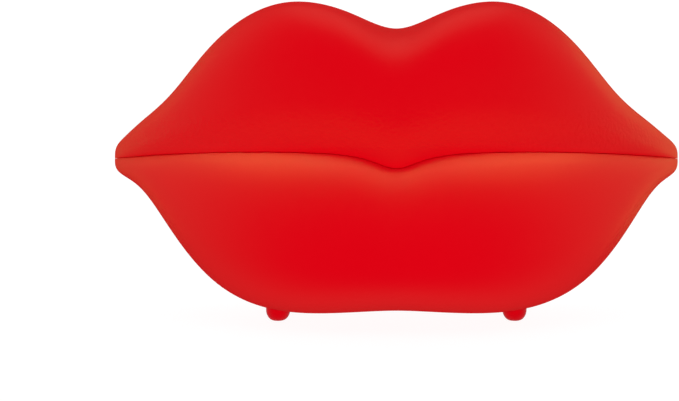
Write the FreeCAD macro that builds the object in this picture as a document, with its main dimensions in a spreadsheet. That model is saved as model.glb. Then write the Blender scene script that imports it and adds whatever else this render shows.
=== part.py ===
"""A novelty telephone in the shape of a pair of lips.

The upper lip is the handset and the lower lip is the base, and they part along the mouth line.
The handset carries the earpiece, the mouthpiece and the keypad on its underside. The base has a
deck with a dish for each end of the handset, and a plunger that feels when the handset is down.

Millimetres. X runs to the right, Y to the back and Z up, with the origin on the table under the
middle of the telephone.
"""
import FreeCAD
import Part
import Sketcher
import math
import os
import re

SIZES = {
    # Front view of the lips: the corners, and the outline's height above or below them. The notch and
    # the peak are placed from the middle, and the shoulder, the flank and the hollow from the corner.
    "lips_width": 240.0,
    "corner_height": 63.2,
    "corner_radius": 16.0,
    "notch_x": 17.0,
    "peak_x": 43.5,
    "shoulder_x": 46.5,
    "flank_x": 23.0,
    "hollow_x": 7.0,
    "bow_middle": 52.2,
    "bow_notch": 57.5,
    "bow_peak": 61.8,
    "bow_shoulder": 44.7,
    "bow_flank": 20.9,
    "bow_hollow": 10.6,
    "bow_lean": -1.05,
    "chin_middle": 57.2,
    "chin_peak": 58.3,
    "chin_shoulder": 48.3,
    "chin_flank": 22.4,
    "chin_hollow": 8.4,
    "chin_lean": 1.35,
    # The mouth line where the two lips part
    "mouth_rise": 3.9,
    "mouth_dip": 6.0,
    "mouth_dip_width": 11.0,
    "mouth_gap": 0.4,
    "mouth_recess": 5.5,
    # Plan of the lips: how far each face stands from the corners, and the cleft down the lower lip
    "corner_setback": 27.0,
    "upper_reach": 70.0,
    "lower_reach": 77.0,
    "back_reach": 21.0,
    "cleft_depth": 2.5,
    "cleft_width": 13.0,
    # Walls, and the openings that the two plates close, which end half of their shortfall from a corner
    "handset_wall": 2.5,
    "base_wall": 3.0,
    "ledge_width": 1.5,
    "ledge_thickness": 2.0,
    "fit_gap": 0.25,
    "opening_half": 16.0,
    "opening_round": 8.0,
    # Deck of the base, with its dishes and pads
    "deck_height": 61.0,
    "deck_thickness": 2.5,
    "dish_depth": 1.2,
    "dish_margin": 1.0,
    "pad_thickness": 1.7,
    "pad_width": 5.0,
    # Faceplate of the handset, with the two cups placed from the opening's ends
    "mouth_space": 6.5,
    "plate_thickness": 3.0,
    "cup_x": 34.0,
    "cup_y": 16.0,
    "cup_radius": 21.0,
    "cup_floor": 2.0,
    "cup_bevel": 1.5,
    "grille_hole": 1.0,
    "grille_spacing": 4.2,
    # Earpiece and mouthpiece
    "receiver_radius": 16.0,
    "receiver_height": 8.0,
    "receiver_step": 3.0,
    "gasket_thickness": 0.8,
    "gasket_width": 4.0,
    "boot_radius": 7.0,
    "boot_height": 6.5,
    "boot_wall": 2.0,
    "capsule_height": 5.0,
    "socket_wall": 2.0,
    # Keypad: three columns along Y and five rows along X
    "keypad_y": 3.0,
    "row_pitch": 12.0,
    "column_pitch": 14.0,
    "key_length": 8.4,
    "key_width": 10.6,
    "key_corner": 1.2,
    "key_bevel": 0.6,
    "key_proud": 2.5,
    "key_gap": 0.3,
    "flange_width": 0.9,
    "flange_thickness": 1.0,
    "dome_height": 2.0,
    "dome_radius": 3.6,
    "sheet_thickness": 1.0,
    "sheet_margin": 1.2,
    # Circuit boards, and the pegs that hold them
    "board_thickness": 1.6,
    "peg_radius": 1.1,
    "peg_head": 0.8,
    "post_radius": 2.6,
    "key_board_margin": 2.0,
    "base_board_height": 22.0,
    "base_board_length": 96.0,
    "base_board_width": 35.0,
    "base_board_inset": 6.4,
    # Screws, and the bosses they draw together. The tip screws stand in from the opening's ends, and the
    # deck screws out from the board's ends.
    "screw_head": 2.8,
    "screw_head_height": 1.8,
    "screw_shank": 1.5,
    "screw_length": 14.0,
    "screw_gap": 0.2,
    "thread_gap": 0.05,
    "plate_screw_x": 42.0,
    "plate_screw_front": -17.0,
    "plate_screw_back": 36.0,
    "tip_screw_x": 12.0,
    "tip_screw_y": 33.0,
    "deck_screw_x": 10.0,
    "deck_screw_front": -2.0,
    "deck_screw_back": 33.0,
    "boss_radius": 5.5,
    "boss_top": 21.0,
    "boss_seat": 4.0,
    "pillar_radius": 4.0,
    # Feet, taller at the back, where the floor of the lip rises
    "foot_x": 47.0,
    "foot_front": -10.0,
    "foot_back": 28.0,
    "foot_radius": 4.8,
    "foot_flat": 1.5,
    "foot_height": 8.0,
    "foot_rise": 5.0,
    "foot_boss": 2.5,
    # Hook plunger, its guide and its contact springs
    "hook_x": -40.0,
    "hook_y": 22.0,
    "hook_stroke": 4.0,
    "plunger_radius": 4.0,
    "plunger_gap": 0.3,
    "collar_radius": 5.6,
    "collar_thickness": 1.5,
    "stem_radius": 1.6,
    "guide_depth": 9.0,
    "guide_wall": 2.5,
    "leaf_height": 30.0,
    "leaf_thickness": 0.4,
    "leaf_width": 6.0,
    "leaf_reach": 16.0,
    "leaf_gap": 2.0,
    "block_length": 9.0,
    "block_width": 11.0,
    "block_cap": 1.5,
    # Sockets for the line cord and the handset cord
    "jack_depth": 15.0,
    "jack_height": 12.0,
    "jack_wall": 1.7,
    "jack_recess": 1.0,
    "jack_gap": 0.3,
    "line_plug_width": 9.8,
    "cord_plug_width": 7.8,
    "plug_height": 6.8,
    "plug_depth": 11.5,
    "latch_width": 3.4,
    "latch_height": 2.0,
    "line_jack_x": -14.0,
    "base_jack_x": 14.0,
    "handset_jack_x": 55.0,
    "handset_jack_lift": 4.0,
    "shelf_thickness": 2.0,
    "shelf_lip": 5.0,
    # Slide switches for the ringer and for tone or pulse
    "switch_x": 34.0,
    "switch_length": 10.0,
    "switch_width": 5.0,
    "switch_height": 5.0,
    "slot_depth": 2.0,
    "knob_length": 2.4,
    "knob_height": 2.4,
    "knob_recess": 1.6,
    "knob_gap": 0.3,
    "ringer_travel": 3.0,
    "tone_travel": 2.2,
    # Sounder and ballast
    "sounder_x": 30.0,
    "sounder_y": 19.0,
    "sounder_radius": 10.5,
    "sounder_height": 7.0,
    "sounder_port": 1.5,
    "ballast_length": 64.0,
    "ballast_width": 20.0,
    "ballast_height": 10.0,
    "ballast_y": -14.0,
    "ballast_floor": 12.5,
    "ballast_rib": 5.0,
    "ballast_rib_x": 22.0,
}

# Shape of a section through each lip, as shares of the height from the mouth line to the lip's edge
# and of the depth from front to back: where the lip is fullest, where its edge runs and how much that
# draws back in the middle, where the back wall begins, how far the roll turns under, how full the
# front is, less for a fuller one, and how square the back is.
UPPER = {
    "full": 0.36,
    "edge": 0.21,
    "valley": 0.15,
    "wall": 0.35,
    "roll": 1.4,
    "swell": 0.74,
    "square": 0.62,
}
LOWER = {
    "full": 0.50,
    "edge": 0.30,
    "valley": 0.0,
    "wall": 0.40,
    "roll": 1.4,
    "swell": 0.82,
    "square": 0.86,
}
# Share of the lips' reach that follows a round plan, with the rest drawn out towards the corners
PLAN_ROUND = 0.35
# Sections along a lip, and chords that stand for the roll, the front and the back of each one
OUTER_SECTIONS = 25
OUTER_CHORDS = (5, 11, 8)
INNER_SECTIONS = 13
INNER_CHORDS = (2, 5, 4)
LAST_SECTION = 0.985

doc = FreeCAD.newDocument("LipsTelephone")
sheet = doc.addObject("Spreadsheet::Sheet", "Sizes")
for row, (alias, size) in enumerate(SIZES.items(), start=1):
    sheet.set(f"A{row}", alias)
    sheet.set(f"B{row}", str(size))
    sheet.setAlias(f"B{row}", alias)
doc.recompute()

subparts = {}


def cells(text):
    """The text with every size name in it written as a cell of the sheet."""
    return re.sub(r"[a-z][a-z_]+", r"Sizes.\g<0>", text)


def mm(text):
    """The value of an expression in size names."""
    return float(sheet.evalExpression(cells(text)))


def bind(thing, **sizes):
    """Ties properties of a document object to expressions in size names."""
    for name, text in sizes.items():
        thing.setExpression(name, cells(text))
    return thing


def place(thing, x="0", y="0", z="0"):
    """Ties an object's position to expressions in size names."""
    for axis, text in zip("xyz", (x, y, z)):
        thing.setExpression(f"Placement.Base.{axis}", cells(text))
    return thing


def subpart(node, thing):
    """Labels an object as the sub-part that its file is named after."""
    thing.Label = node
    subparts[node] = thing
    return thing


# Solids that other solids are made from


def cylinder(name, radius, height, x, y, z):
    """An upright cylinder standing at a point."""
    made = doc.addObject("Part::Cylinder", name)
    bind(made, Radius=radius, Height=height)
    return place(made, x, y, z)


def block(name, length, width, height, x, y, z):
    """A block centred on a point in plan, with its underside at z."""
    made = doc.addObject("Part::Box", name)
    bind(made, Length=length, Width=width, Height=height)
    return place(made, f"{x} - ({length})/2", f"{y} - ({width})/2", z)


def fuse(name, solids):
    made = doc.addObject("Part::MultiFuse", name)
    made.Shapes = solids
    return made


def cut(name, base, tools):
    made = doc.addObject("Part::Cut", name)
    made.Base = base
    made.Tool = tools[0] if len(tools) == 1 else fuse(f"{name}_tools", tools)
    return made


def common(name, base, tool):
    made = doc.addObject("Part::Common", name)
    made.Base = base
    made.Tool = tool
    return made


def feature(name, shape):
    made = doc.addObject("Part::Feature", name)
    made.Shape = shape
    return made


def prism(name, outline, bottom, top):
    """A flat outline carried straight up from one height to another."""
    face = Part.Face(outline)
    face.translate(FreeCAD.Vector(0, 0, bottom))
    return feature(name, face.extrude(FreeCAD.Vector(0, 0, top - bottom)))


# Bodies of sketches and features


def new_body(name):
    return doc.addObject("PartDesign::Body", name)


def sketch_on(body, role, name, x="0", y="0", z="0"):
    """A sketch on one of the body's own planes, shifted by expressions in size names."""
    sketch = body.newObject("Sketcher::SketchObject", name)
    plane = [part for part in body.Origin.OriginFeatures if part.Role == role][0]
    sketch.AttachmentSupport = [(plane, "")]
    sketch.MapMode = "FlatFace"
    for axis, text in zip("xyz", (x, y, z)):
        sketch.setExpression(f"AttachmentOffset.Base.{axis}", cells(text))
    return sketch


def constrain(sketch, text, *parts):
    """Adds a dimension that follows an expression in size names."""
    index = sketch.addConstraint(Sketcher.Constraint(*parts, mm(text)))
    sketch.setExpression(f"Constraints[{index}]", cells(text))


def rectangle(sketch, length, width):
    """A rectangle centred on the sketch's origin."""
    half_x, half_y = mm(length) / 2, mm(width) / 2
    corners = [(-half_x, -half_y), (half_x, -half_y), (half_x, half_y), (-half_x, half_y)]
    points = [FreeCAD.Vector(*corner, 0) for corner in corners]
    for start, end in zip(points, points[1:] + points[:1]):
        sketch.addGeometry(Part.LineSegment(start, end))
    for side in range(4):
        sketch.addConstraint(Sketcher.Constraint("Coincident", side, 2, (side + 1) % 4, 1))
        sketch.addConstraint(Sketcher.Constraint("Vertical" if side % 2 else "Horizontal", side))
    sketch.addConstraint(Sketcher.Constraint("Symmetric", 0, 1, 2, 1, -1, 1))
    constrain(sketch, length, "DistanceX", 0, 1, 0, 2)
    constrain(sketch, width, "DistanceY", 1, 1, 1, 2)


def profile(sketch, points):
    """A closed outline of straight sides beside the sketch's upright axis."""
    spots = [FreeCAD.Vector(mm(out), mm(up), 0) for out, up in points]
    for start, end in zip(spots, spots[1:] + spots[:1]):
        sketch.addGeometry(Part.LineSegment(start, end))
    for side, (out, up) in enumerate(points):
        before = (side or len(points)) - 1
        sketch.addConstraint(Sketcher.Constraint("Coincident", before, 2, side, 1))
        for text, kind, axis in ((out, "DistanceX", -2), (up, "DistanceY", -1)):
            if text == "0":
                sketch.addConstraint(Sketcher.Constraint("PointOnObject", side, 1, axis))
            else:
                constrain(sketch, text, kind, -1, 1, side, 1)


def extrude(body, kind, sketch, length):
    made = body.newObject(f"PartDesign::{kind}", f"{sketch.Name}_{kind}")
    made.Profile = sketch
    return bind(made, Length=length)


def plate(body, length, width, height, z="0"):
    """A pad with a rectangular outline."""
    sketch = sketch_on(body, "XY_Plane", f"{body.Name}_outline_{len(body.Group)}", z=z)
    rectangle(sketch, length, width)
    return extrude(body, "Pad", sketch, height)


def recess(body, length, width, depth, x="0", y="0", z="0"):
    """A rectangular pocket sunk downwards from height z."""
    sketch = sketch_on(body, "XY_Plane", f"{body.Name}_recess_{len(body.Group)}", x, y, z)
    rectangle(sketch, length, width)
    return extrude(body, "Pocket", sketch, depth)


def chamfer(body, base, size, chosen):
    """A chamfer on the edges of a feature that pass a test."""
    doc.recompute()
    edges = [f"Edge{n}" for n, edge in enumerate(base.Shape.Edges, start=1) if chosen(edge)]
    made = body.newObject("PartDesign::Chamfer", f"{base.Name}_Chamfer")
    made.Base = (base, edges)
    return bind(made, Size=size)


def turned(name, points):
    """A body turned on an upright axis from a closed outline of (radius, height) pairs."""
    body = new_body(name)
    sketch = sketch_on(body, "XZ_Plane", f"{name}_outline")
    profile(sketch, points)
    made = body.newObject("PartDesign::Revolution", f"{name}_turn")
    made.Profile = sketch
    made.ReferenceAxis = (sketch, ["V_Axis"])
    made.Angle = 360
    return body


# Form of the lips. A station runs from -1 at the left corner to 1 at the right one, and the rows
# of sections crowd towards the corners as its sine does.

HALF = mm("lips_width") / 2
CORNER = mm("corner_height")


def station(x):
    return math.asin(max(-1.0, min(1.0, x / HALF))) * 2 / math.pi


def smooth_curve(places, heights, last_slope):
    """A cubic spline through the heights, level at the first place, with a given slope at the last."""
    count = len(places)
    steps = [places[i + 1] - places[i] for i in range(count - 1)]
    rises = [(heights[i + 1] - heights[i]) / steps[i] for i in range(count - 1)]
    pivots, sums = [1.0], [0.0]
    for i in range(1, count - 1):
        ahead = 0.0 if i == 1 else steps[i - 2]
        weight = steps[i] / pivots[i - 1]
        pivots.append(2 * (steps[i - 1] + steps[i]) - weight * ahead)
        sums.append(3 * (steps[i] * rises[i - 1] + steps[i - 1] * rises[i]) - weight * sums[i - 1])
    slopes = [0.0] * (count - 1) + [last_slope]
    for i in range(count - 2, 0, -1):
        slopes[i] = (sums[i] - steps[i - 1] * slopes[i + 1]) / pivots[i]

    def height(place):
        i = max(k for k in range(count - 1) if k == 0 or place > places[k])
        part = (place - places[i]) / steps[i]
        rest = 1 - part
        return (
            heights[i] * (1 + 2 * part) * rest**2
            + heights[i + 1] * (3 - 2 * part) * part**2
            + steps[i] * part * rest * (slopes[i] * rest - slopes[i + 1] * part)
        )

    return height


MARKS = {
    "notch": "notch_x",
    "peak": "peak_x",
    "shoulder": "lips_width/2 - shoulder_x",
    "flank": "lips_width/2 - flank_x",
    "hollow": "lips_width/2 - hollow_x",
}


def outline_curve(prefix, names):
    """A lip's height from the corners, by station, from the sizes that share a prefix."""
    middle = [(0.0, mm(f"{prefix}_middle"))]
    marks = [(station(mm(MARKS[name])), mm(f"{prefix}_{name}")) for name in names]
    places, heights = zip(*middle, *marks, (1.0, 0.0))
    tip = -math.sqrt(mm("corner_radius") * HALF) * math.pi / 2
    curve = smooth_curve(places, heights, tip)
    lean = mm(f"{prefix}_lean") * 8 / (math.pi * HALF)

    def height(t):
        across, along = math.sin(t * math.pi / 2), math.cos(t * math.pi / 2)
        return curve(min(1.0, abs(t - lean * across**2 * along)))

    return height


bow = outline_curve("bow", ["notch", "peak", "shoulder", "flank", "hollow"])
chin = outline_curve("chin", ["peak", "shoulder", "flank", "hollow"])


def mouth(x):
    """Height of the mouth line: a low arch with a dip in the middle."""
    arch = 1 - min(1.0, (x / HALF) ** 2)
    return CORNER + mm("mouth_rise") * arch - mm("mouth_dip") / (1 + (x / mm("mouth_dip_width")) ** 2)


def guides(t, inset=0.0):
    """The lines that a section hangs on at a station, drawn in by the inset."""
    across, along = math.sin(t * math.pi / 2), math.cos(t * math.pi / 2)
    inward = inset * math.sqrt(max(0.0, 1 - across**12))
    reach = PLAN_ROUND * along + (1 - PLAN_ROUND) * along**2
    setback = mm("corner_setback")
    upper = setback - mm("upper_reach") * reach
    x = (HALF - inset) * across
    middle = 1 / (1 + (x / mm("cleft_width")) ** 2)
    lower = setback - mm("lower_reach") * reach + mm("cleft_depth") * middle
    back = setback + mm("back_reach") * math.sqrt(max(0.0, 1 - across**6))
    crease = upper + mm("mouth_recess") * (back - upper) / mm("upper_reach + back_reach")
    return {
        "x": x,
        "middle": middle,
        "mouth": mouth(x),
        "top": CORNER + bow(t) - inward,
        "bottom": CORNER - chin(t) + inward,
        "upper": upper + inward,
        "lower": lower + inward,
        "back": back - inward,
        "crease": crease + inward,
    }


def section(t, lip, inset, chords):
    """One section of a lip across X: a roll turned under at the mouth, a full front and a squarer back."""
    line = guides(t, inset)
    front = line["upper"] if lip is UPPER else line["lower"]
    edge = line["top"] if lip is UPPER else line["bottom"]
    back = line["back"]
    rise = edge - line["mouth"]
    full = line["mouth"] + lip["full"] * rise
    wall = line["mouth"] + lip["wall"] * rise
    ridge = front + (lip["edge"] + lip["valley"] * line["middle"]) * (back - front)
    roll = lip["roll"] * lip["full"] * rise
    tuck = (line["crease"] - front) / (1 - math.sqrt(1 - 1 / lip["roll"] ** 2))

    roll_chords, front_chords, back_chords = chords
    turns = [n / roll_chords * math.pi / 2 for n in range(roll_chords)]
    spots = [(front + tuck * (1 - math.sin(a)), full - roll * math.cos(a)) for a in turns]
    turns = [n / front_chords * math.pi / 2 for n in range(front_chords)]
    swell = lip["swell"]
    spots += [
        (ridge - (ridge - front) * math.cos(a) ** swell, full + (edge - full) * math.sin(a) ** swell)
        for a in turns
    ]
    start, corner, end = [FreeCAD.Vector(0, y, z) for y, z in ((ridge, edge), (back, edge), (back, wall))]
    curve = Part.BezierCurve()
    handle = lip["square"]
    curve.setPoles([start, start + (corner - start) * handle, end + (corner - end) * handle, end])
    spots += [tuple(curve.value(n / back_chords))[1:] for n in range(back_chords)]
    spots += [(back, wall), (back, full - roll)]
    return Part.makePolygon([FreeCAD.Vector(line["x"], y, z) for y, z in spots + spots[:1]])


def lip_form(lip, inset, count, chords):
    """A lip's solid, run on past the mouth line, as a loft through its sections."""
    stations = [LAST_SECTION * (2 * n / (count - 1) - 1) for n in range(count)]
    return Part.makeLoft([section(t, lip, inset, chords) for t in stations], True)


def mouth_block(shift, far):
    """Everything beyond the mouth line, up or down to a far height, to part a lip along it."""
    reach = HALF + mm("ledge_width")
    depth = mm("corner_setback + lower_reach + back_reach")
    shares = [n / 12 for n in range(-12, 13)]
    spots = [reach * share * abs(share) ** 0.5 for share in shares]
    line = [FreeCAD.Vector(x, -depth, mouth(x) + shift) for x in spots]
    curve = Part.BSplineCurve()
    curve.interpolate(line)
    ends = [line[-1], FreeCAD.Vector(reach, -depth, far), FreeCAD.Vector(-reach, -depth, far), line[0]]
    sides = [Part.makeLine(a, b) for a, b in zip(ends, ends[1:])]
    return Part.Face(Part.Wire([curve.toShape()] + sides)).extrude(FreeCAD.Vector(0, 2 * depth, 0))


OPENING_END = "(lips_width/2 - opening_half)"


def opening(inset):
    """Plan of the opening inside the mouth line, drawn in by the inset.

    An arc follows the crease, the back is straight, and an arc closes each end.
    """
    half = mm(OPENING_END)
    shoulder = half - mm("opening_round")
    middle, end = guides(0), guides(station(shoulder))
    front = FreeCAD.Vector(shoulder, end["crease"], 0)
    rear = FreeCAD.Vector(shoulder, end["back"], 0)
    tip = FreeCAD.Vector(half, (front.y + rear.y) / 2, 0)
    bottom = FreeCAD.Vector(0, middle["crease"], 0)

    def left(point):
        return FreeCAD.Vector(-point.x, point.y, 0)

    edges = [
        Part.Arc(left(front), bottom, front).toShape(),
        Part.Arc(front, tip, rear).toShape(),
        Part.makeLine(rear, left(rear)),
        Part.Arc(left(rear), left(tip), left(front)).toShape(),
    ]
    return Part.Wire(edges).makeOffset2D(-inset)


# Heights and places that several pieces share

CUP_X = f"({OPENING_END} - cup_x)"
DECK_UNDER = "(deck_height - deck_thickness)"
CUP_END = "(deck_height - dish_depth + pad_thickness)"
PLATE_UNDER = "(deck_height + mouth_space)"
PLATE_TOP = "(deck_height + mouth_space + plate_thickness)"
SHEET_UNDER = f"({PLATE_TOP} + flange_thickness + dome_height)"
KEY_BOARD_UNDER = f"({SHEET_UNDER} + sheet_thickness)"
BASE_BOARD_TOP = "(base_board_height + board_thickness)"
BACK_FACE = "(corner_setback + back_reach)"
BASE_BOARD_BACK = f"({BACK_FACE} - base_wall - base_board_inset + ledge_width)"
BASE_BOARD_Y = f"({BASE_BOARD_BACK} - base_board_width/2)"
JACK_FACE = f"({BACK_FACE} - jack_recess)"
PLATE_SCREWS = [
    (f"{side}*{x}", y)
    for x, y in (
        ("plate_screw_x", "plate_screw_front"),
        ("plate_screw_x", "plate_screw_back"),
        (f"({OPENING_END} - tip_screw_x)", "tip_screw_y"),
    )
    for side in (-1, 1)
]
DECK_SCREWS = [
    (f"{side}*(base_board_length/2 + deck_screw_x)", f"deck_screw_{end}")
    for end in ("front", "back")
    for side in (-1, 1)
]
FEET = {
    f"foot_{end}_{side}": (f"{sign}*foot_x", f"foot_{end}", tall)
    for end, tall in (("front", "foot_height"), ("back", "(foot_height + foot_rise)"))
    for side, sign in (("left", -1), ("right", 1))
}
TALL = mm("corner_height + bow_peak") + mm("corner_radius")


# Lower lip: the base shell. Its floor carries bosses for the feet, the deck screws, the board and
# the ballast, and its back wall has windows for the sockets and switches.

lower_lip = feature(
    "LowerLip",
    lip_form(LOWER, 0, OUTER_SECTIONS, OUTER_CHORDS).cut(mouth_block(-mm("mouth_gap") / 2, TALL)),
)
base_hollow = cut(
    "BaseHollow",
    feature("BaseInside", lip_form(LOWER, mm("base_wall"), INNER_SECTIONS, INNER_CHORDS)),
    [
        block(
            "AboveLedge",
            "2*lips_width",
            "2*lips_width",
            "lips_width",
            "0",
            "0",
            f"{DECK_UNDER} - ledge_thickness",
        )
    ],
)
base_throat = prism(
    "BaseThroat",
    opening(mm("base_wall + ledge_width")),
    mm(f"{DECK_UNDER} - 2*ledge_thickness"),
    mm(DECK_UNDER),
)
deck_well = prism("DeckWell", opening(mm("base_wall")), mm(DECK_UNDER), TALL)
base_bowl = cut("BaseBowl", lower_lip, [base_hollow, base_throat, deck_well])

BOARD_PEGS = [
    (
        f"{side}*(base_board_length/2 - 2*post_radius)",
        f"{BASE_BOARD_Y} + {end}*(base_board_width/2 - 2*post_radius)",
    )
    for end in (-1, 1)
    for side in (-1, 1)
]
RIBS = [f"{side}*ballast_rib_x" for side in (-1, 1)]

floor_posts = []
for n, (x, y) in enumerate(DECK_SCREWS):
    floor_posts.append(cylinder(f"ScrewBoss{n}", "boss_radius", "boss_top", x, y, "0"))
for node, (x, y, tall) in FEET.items():
    floor_posts.append(cylinder(f"Boss_{node}", "foot_radius + foot_boss", f"{tall} + foot_boss", x, y, "0"))
for n, (x, y) in enumerate(BOARD_PEGS):
    floor_posts.append(cylinder(f"BoardPost{n}", "post_radius", "base_board_height", x, y, "0"))
for n, x in enumerate(RIBS):
    floor_posts.append(
        block(f"BallastRib{n}", "ballast_rib", "ballast_width", "ballast_floor", x, "ballast_y", "0")
    )
floor_bosses = common("FloorBosses", fuse("FloorPosts", floor_posts), lower_lip)

board_pegs = [
    cylinder(f"BoardPeg{n}", "peg_radius", "board_thickness + peg_head", x, y, "base_board_height")
    for n, (x, y) in enumerate(BOARD_PEGS)
]
ballast_pegs = [
    cylinder(f"BallastPeg{n}", "peg_radius", "ballast_height + peg_head", x, "ballast_y", "ballast_floor")
    for n, x in enumerate(RIBS)
]
base_solid = fuse("BaseSolid", [base_bowl, floor_bosses] + board_pegs + ballast_pegs)


def rosette(name, radius, depth, spacing, rings, x, y, z):
    """A round grille: one hole in the middle and six more in each ring."""
    holes = [cylinder(f"{name}_0_0", radius, depth, x, y, z)]
    for ring in range(1, rings + 1):
        for n in range(6 * ring):
            turn = math.tau * n / (6 * ring)
            across = f"{x} + {ring}*{spacing}*({math.cos(turn):.6f})"
            along = f"{y} + {ring}*{spacing}*({math.sin(turn):.6f})"
            holes.append(cylinder(f"{name}_{ring}_{n}", radius, depth, across, along, z))
    return holes


def window(name, length, height, x, z):
    """A rectangular way through the back wall."""
    return block(name, length, "2*base_wall + 4*ledge_width", height, x, BACK_FACE, z)


base_holes = []
for n, (x, y) in enumerate(DECK_SCREWS):
    base_holes.append(
        cylinder(f"HeadWay{n}", "screw_head + screw_gap", "boss_top - boss_seat", x, y, "0")
    )
    base_holes.append(cylinder(f"ShankWay{n}", "screw_shank + screw_gap", "boss_top", x, y, "0"))
for node, (x, y, tall) in FEET.items():
    base_holes.append(cylinder(f"Socket_{node}", "foot_radius", tall, x, y, "0"))
base_holes += rosette(
    "SoundHole", "grille_hole", "base_board_height", "grille_spacing", 1, "sounder_x", "sounder_y", "0"
)
JACKS = {
    "line_jack": ("line_plug_width", "line_jack_x"),
    "base_cord_jack": ("cord_plug_width", "base_jack_x"),
}
for node, (plug, x) in JACKS.items():
    across = f"{plug} + 2*jack_wall + 2*jack_gap"
    tall = "jack_height + 2*jack_gap"
    base_holes.append(window(f"Window_{node}", across, tall, x, f"{BASE_BOARD_TOP} - jack_gap"))
SWITCHES = {
    "ringer": ("switch_x", "ringer_travel"),
    "tone": ("-1*switch_x", "tone_travel"),
}
KNOB_UNDER = f"({BASE_BOARD_TOP} + switch_height/2 - knob_height/2)"
for node, (x, travel) in SWITCHES.items():
    across = f"knob_length + {travel} + 4*knob_gap"
    tall = "knob_height + 4*knob_gap"
    base_holes.append(window(f"Window_{node}", across, tall, x, f"{KNOB_UNDER} - 2*knob_gap"))
subpart("base_shell", cut("BaseShell", base_solid, base_holes))


# Deck: a flat plate in the top of the base, with a dish under each end of the handset, four screw
# pillars and the guide tube of the hook plunger.

pillars = [
    cylinder(f"Pillar{n}", "pillar_radius", f"{DECK_UNDER} - boss_top + deck_thickness/2", x, y, "boss_top")
    for n, (x, y) in enumerate(DECK_SCREWS)
]
GUIDE_END = f"({DECK_UNDER} - guide_depth)"
deck_tube = cylinder(
    "GuideTube",
    "plunger_radius + plunger_gap + guide_wall",
    "guide_depth + deck_thickness/2",
    "hook_x",
    "hook_y",
    GUIDE_END,
)
deck_plate = prism("DeckPlate", opening(mm("base_wall + fit_gap")), mm(DECK_UNDER), mm("deck_height"))
CUPS = {"left": f"-1*{CUP_X}", "right": CUP_X}
DISH_FLOOR = "(deck_height - dish_depth)"
deck_holes = [
    cylinder(f"Dish_{side}", "cup_radius + dish_margin", "deck_thickness", x, "cup_y", DISH_FLOOR)
    for side, x in CUPS.items()
]
deck_holes.append(
    cylinder(
        "GuideBore",
        "plunger_radius + plunger_gap",
        "guide_depth + 2*deck_thickness",
        "hook_x",
        "hook_y",
        GUIDE_END,
    )
)
for n, (x, y) in enumerate(DECK_SCREWS):
    deck_holes.append(cylinder(f"Pilot{n}", "screw_shank + thread_gap", "screw_length", x, y, "boss_top"))
subpart("cradle_deck", cut("CradleDeck", fuse("DeckSolid", [deck_plate, deck_tube] + pillars), deck_holes))

# Rubber ring in each dish, which the handset's cup stands on
for side, x in CUPS.items():
    pad = turned(
        f"cradle_pad_{side}",
        [
            ("cup_radius - cup_bevel - pad_width", "0"),
            ("cup_radius - cup_bevel", "0"),
            ("cup_radius - cup_bevel", "pad_thickness"),
            ("cup_radius - cup_bevel - pad_width", "pad_thickness"),
        ],
    )
    subpart(pad.Name, place(pad, x, "cup_y", DISH_FLOOR))

# Domed feet, pushed into sockets in the floor
DOME_TURNS = [math.radians(turn) for turn in (0, 30, 60, 90)]
dome_side = [
    (
        f"foot_flat + (foot_radius - foot_flat)*{math.sin(turn):.6f}",
        f"(foot_radius - foot_flat)*{1 - math.cos(turn):.6f}",
    )
    for turn in DOME_TURNS[1:]
]
for node, (x, y, tall) in FEET.items():
    foot = turned(
        node,
        [("0", "0"), ("foot_flat", "0"), *dome_side, ("foot_radius", tall), ("0", tall)],
    )
    subpart(node, place(foot, x, y))


def screws(node, places, z):
    """Identical pan-head screws, heads down, as one group of separate solids."""
    screw = turned(
        f"{node}_one",
        [
            ("0", "0"),
            ("screw_head", "0"),
            ("screw_head", "screw_head_height"),
            ("screw_shank", "screw_head_height"),
            ("screw_shank", "screw_head_height + screw_length"),
            ("0", "screw_head_height + screw_length"),
        ],
    )
    doc.recompute()
    copies = [screw.Shape.translated(FreeCAD.Vector(mm(x), mm(y), mm(z))) for x, y in places]
    return subpart(node, feature(f"{node}_set", Part.makeCompound(copies)))


screws("base_screws", DECK_SCREWS, "boss_top - boss_seat - screw_head_height")


# Works of the base: the board on its pegs, the two sockets, the switches, the sounder, the hook
# contacts and the ballast.

base_board = block(
    "BaseBoardBlank",
    "base_board_length",
    "base_board_width",
    "board_thickness",
    "0",
    BASE_BOARD_Y,
    "base_board_height",
)
PEG_HOLE = "peg_radius + screw_gap"
BOARD_HOLE_UNDER = "base_board_height - board_thickness/2"
board_holes = [
    cylinder(f"BoardHole{n}", PEG_HOLE, "2*board_thickness", x, y, BOARD_HOLE_UNDER)
    for n, (x, y) in enumerate(BOARD_PEGS)
]
subpart("base_board", cut("BaseBoard", base_board, board_holes))


def backward(body, x, y, z):
    """Turns a body that was drawn upright so that its top faces the back."""
    body.Placement = FreeCAD.Placement(FreeCAD.Vector(), FreeCAD.Rotation(FreeCAD.Vector(1, 0, 0), -90))
    return place(body, x, y, z)


def jack(node, plug, x, under):
    """A modular socket: a box with the plug's way sunk into its face and a notch for the latch."""
    body = new_body(node)
    plate(body, f"{plug} + 2*jack_wall", "jack_height", "jack_depth")
    recess(body, plug, "plug_height", "plug_depth", z="jack_depth")
    recess(
        body,
        "latch_width",
        "2*latch_height",
        "plug_depth",
        y="plug_height/2",
        z="jack_depth",
    )
    body.Tip = body.Group[-1]
    return subpart(node, backward(body, x, f"{JACK_FACE} - jack_depth", f"{under} + jack_height/2"))


for node, (plug, x) in JACKS.items():
    jack(node, plug, x, BASE_BOARD_TOP)

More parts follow.
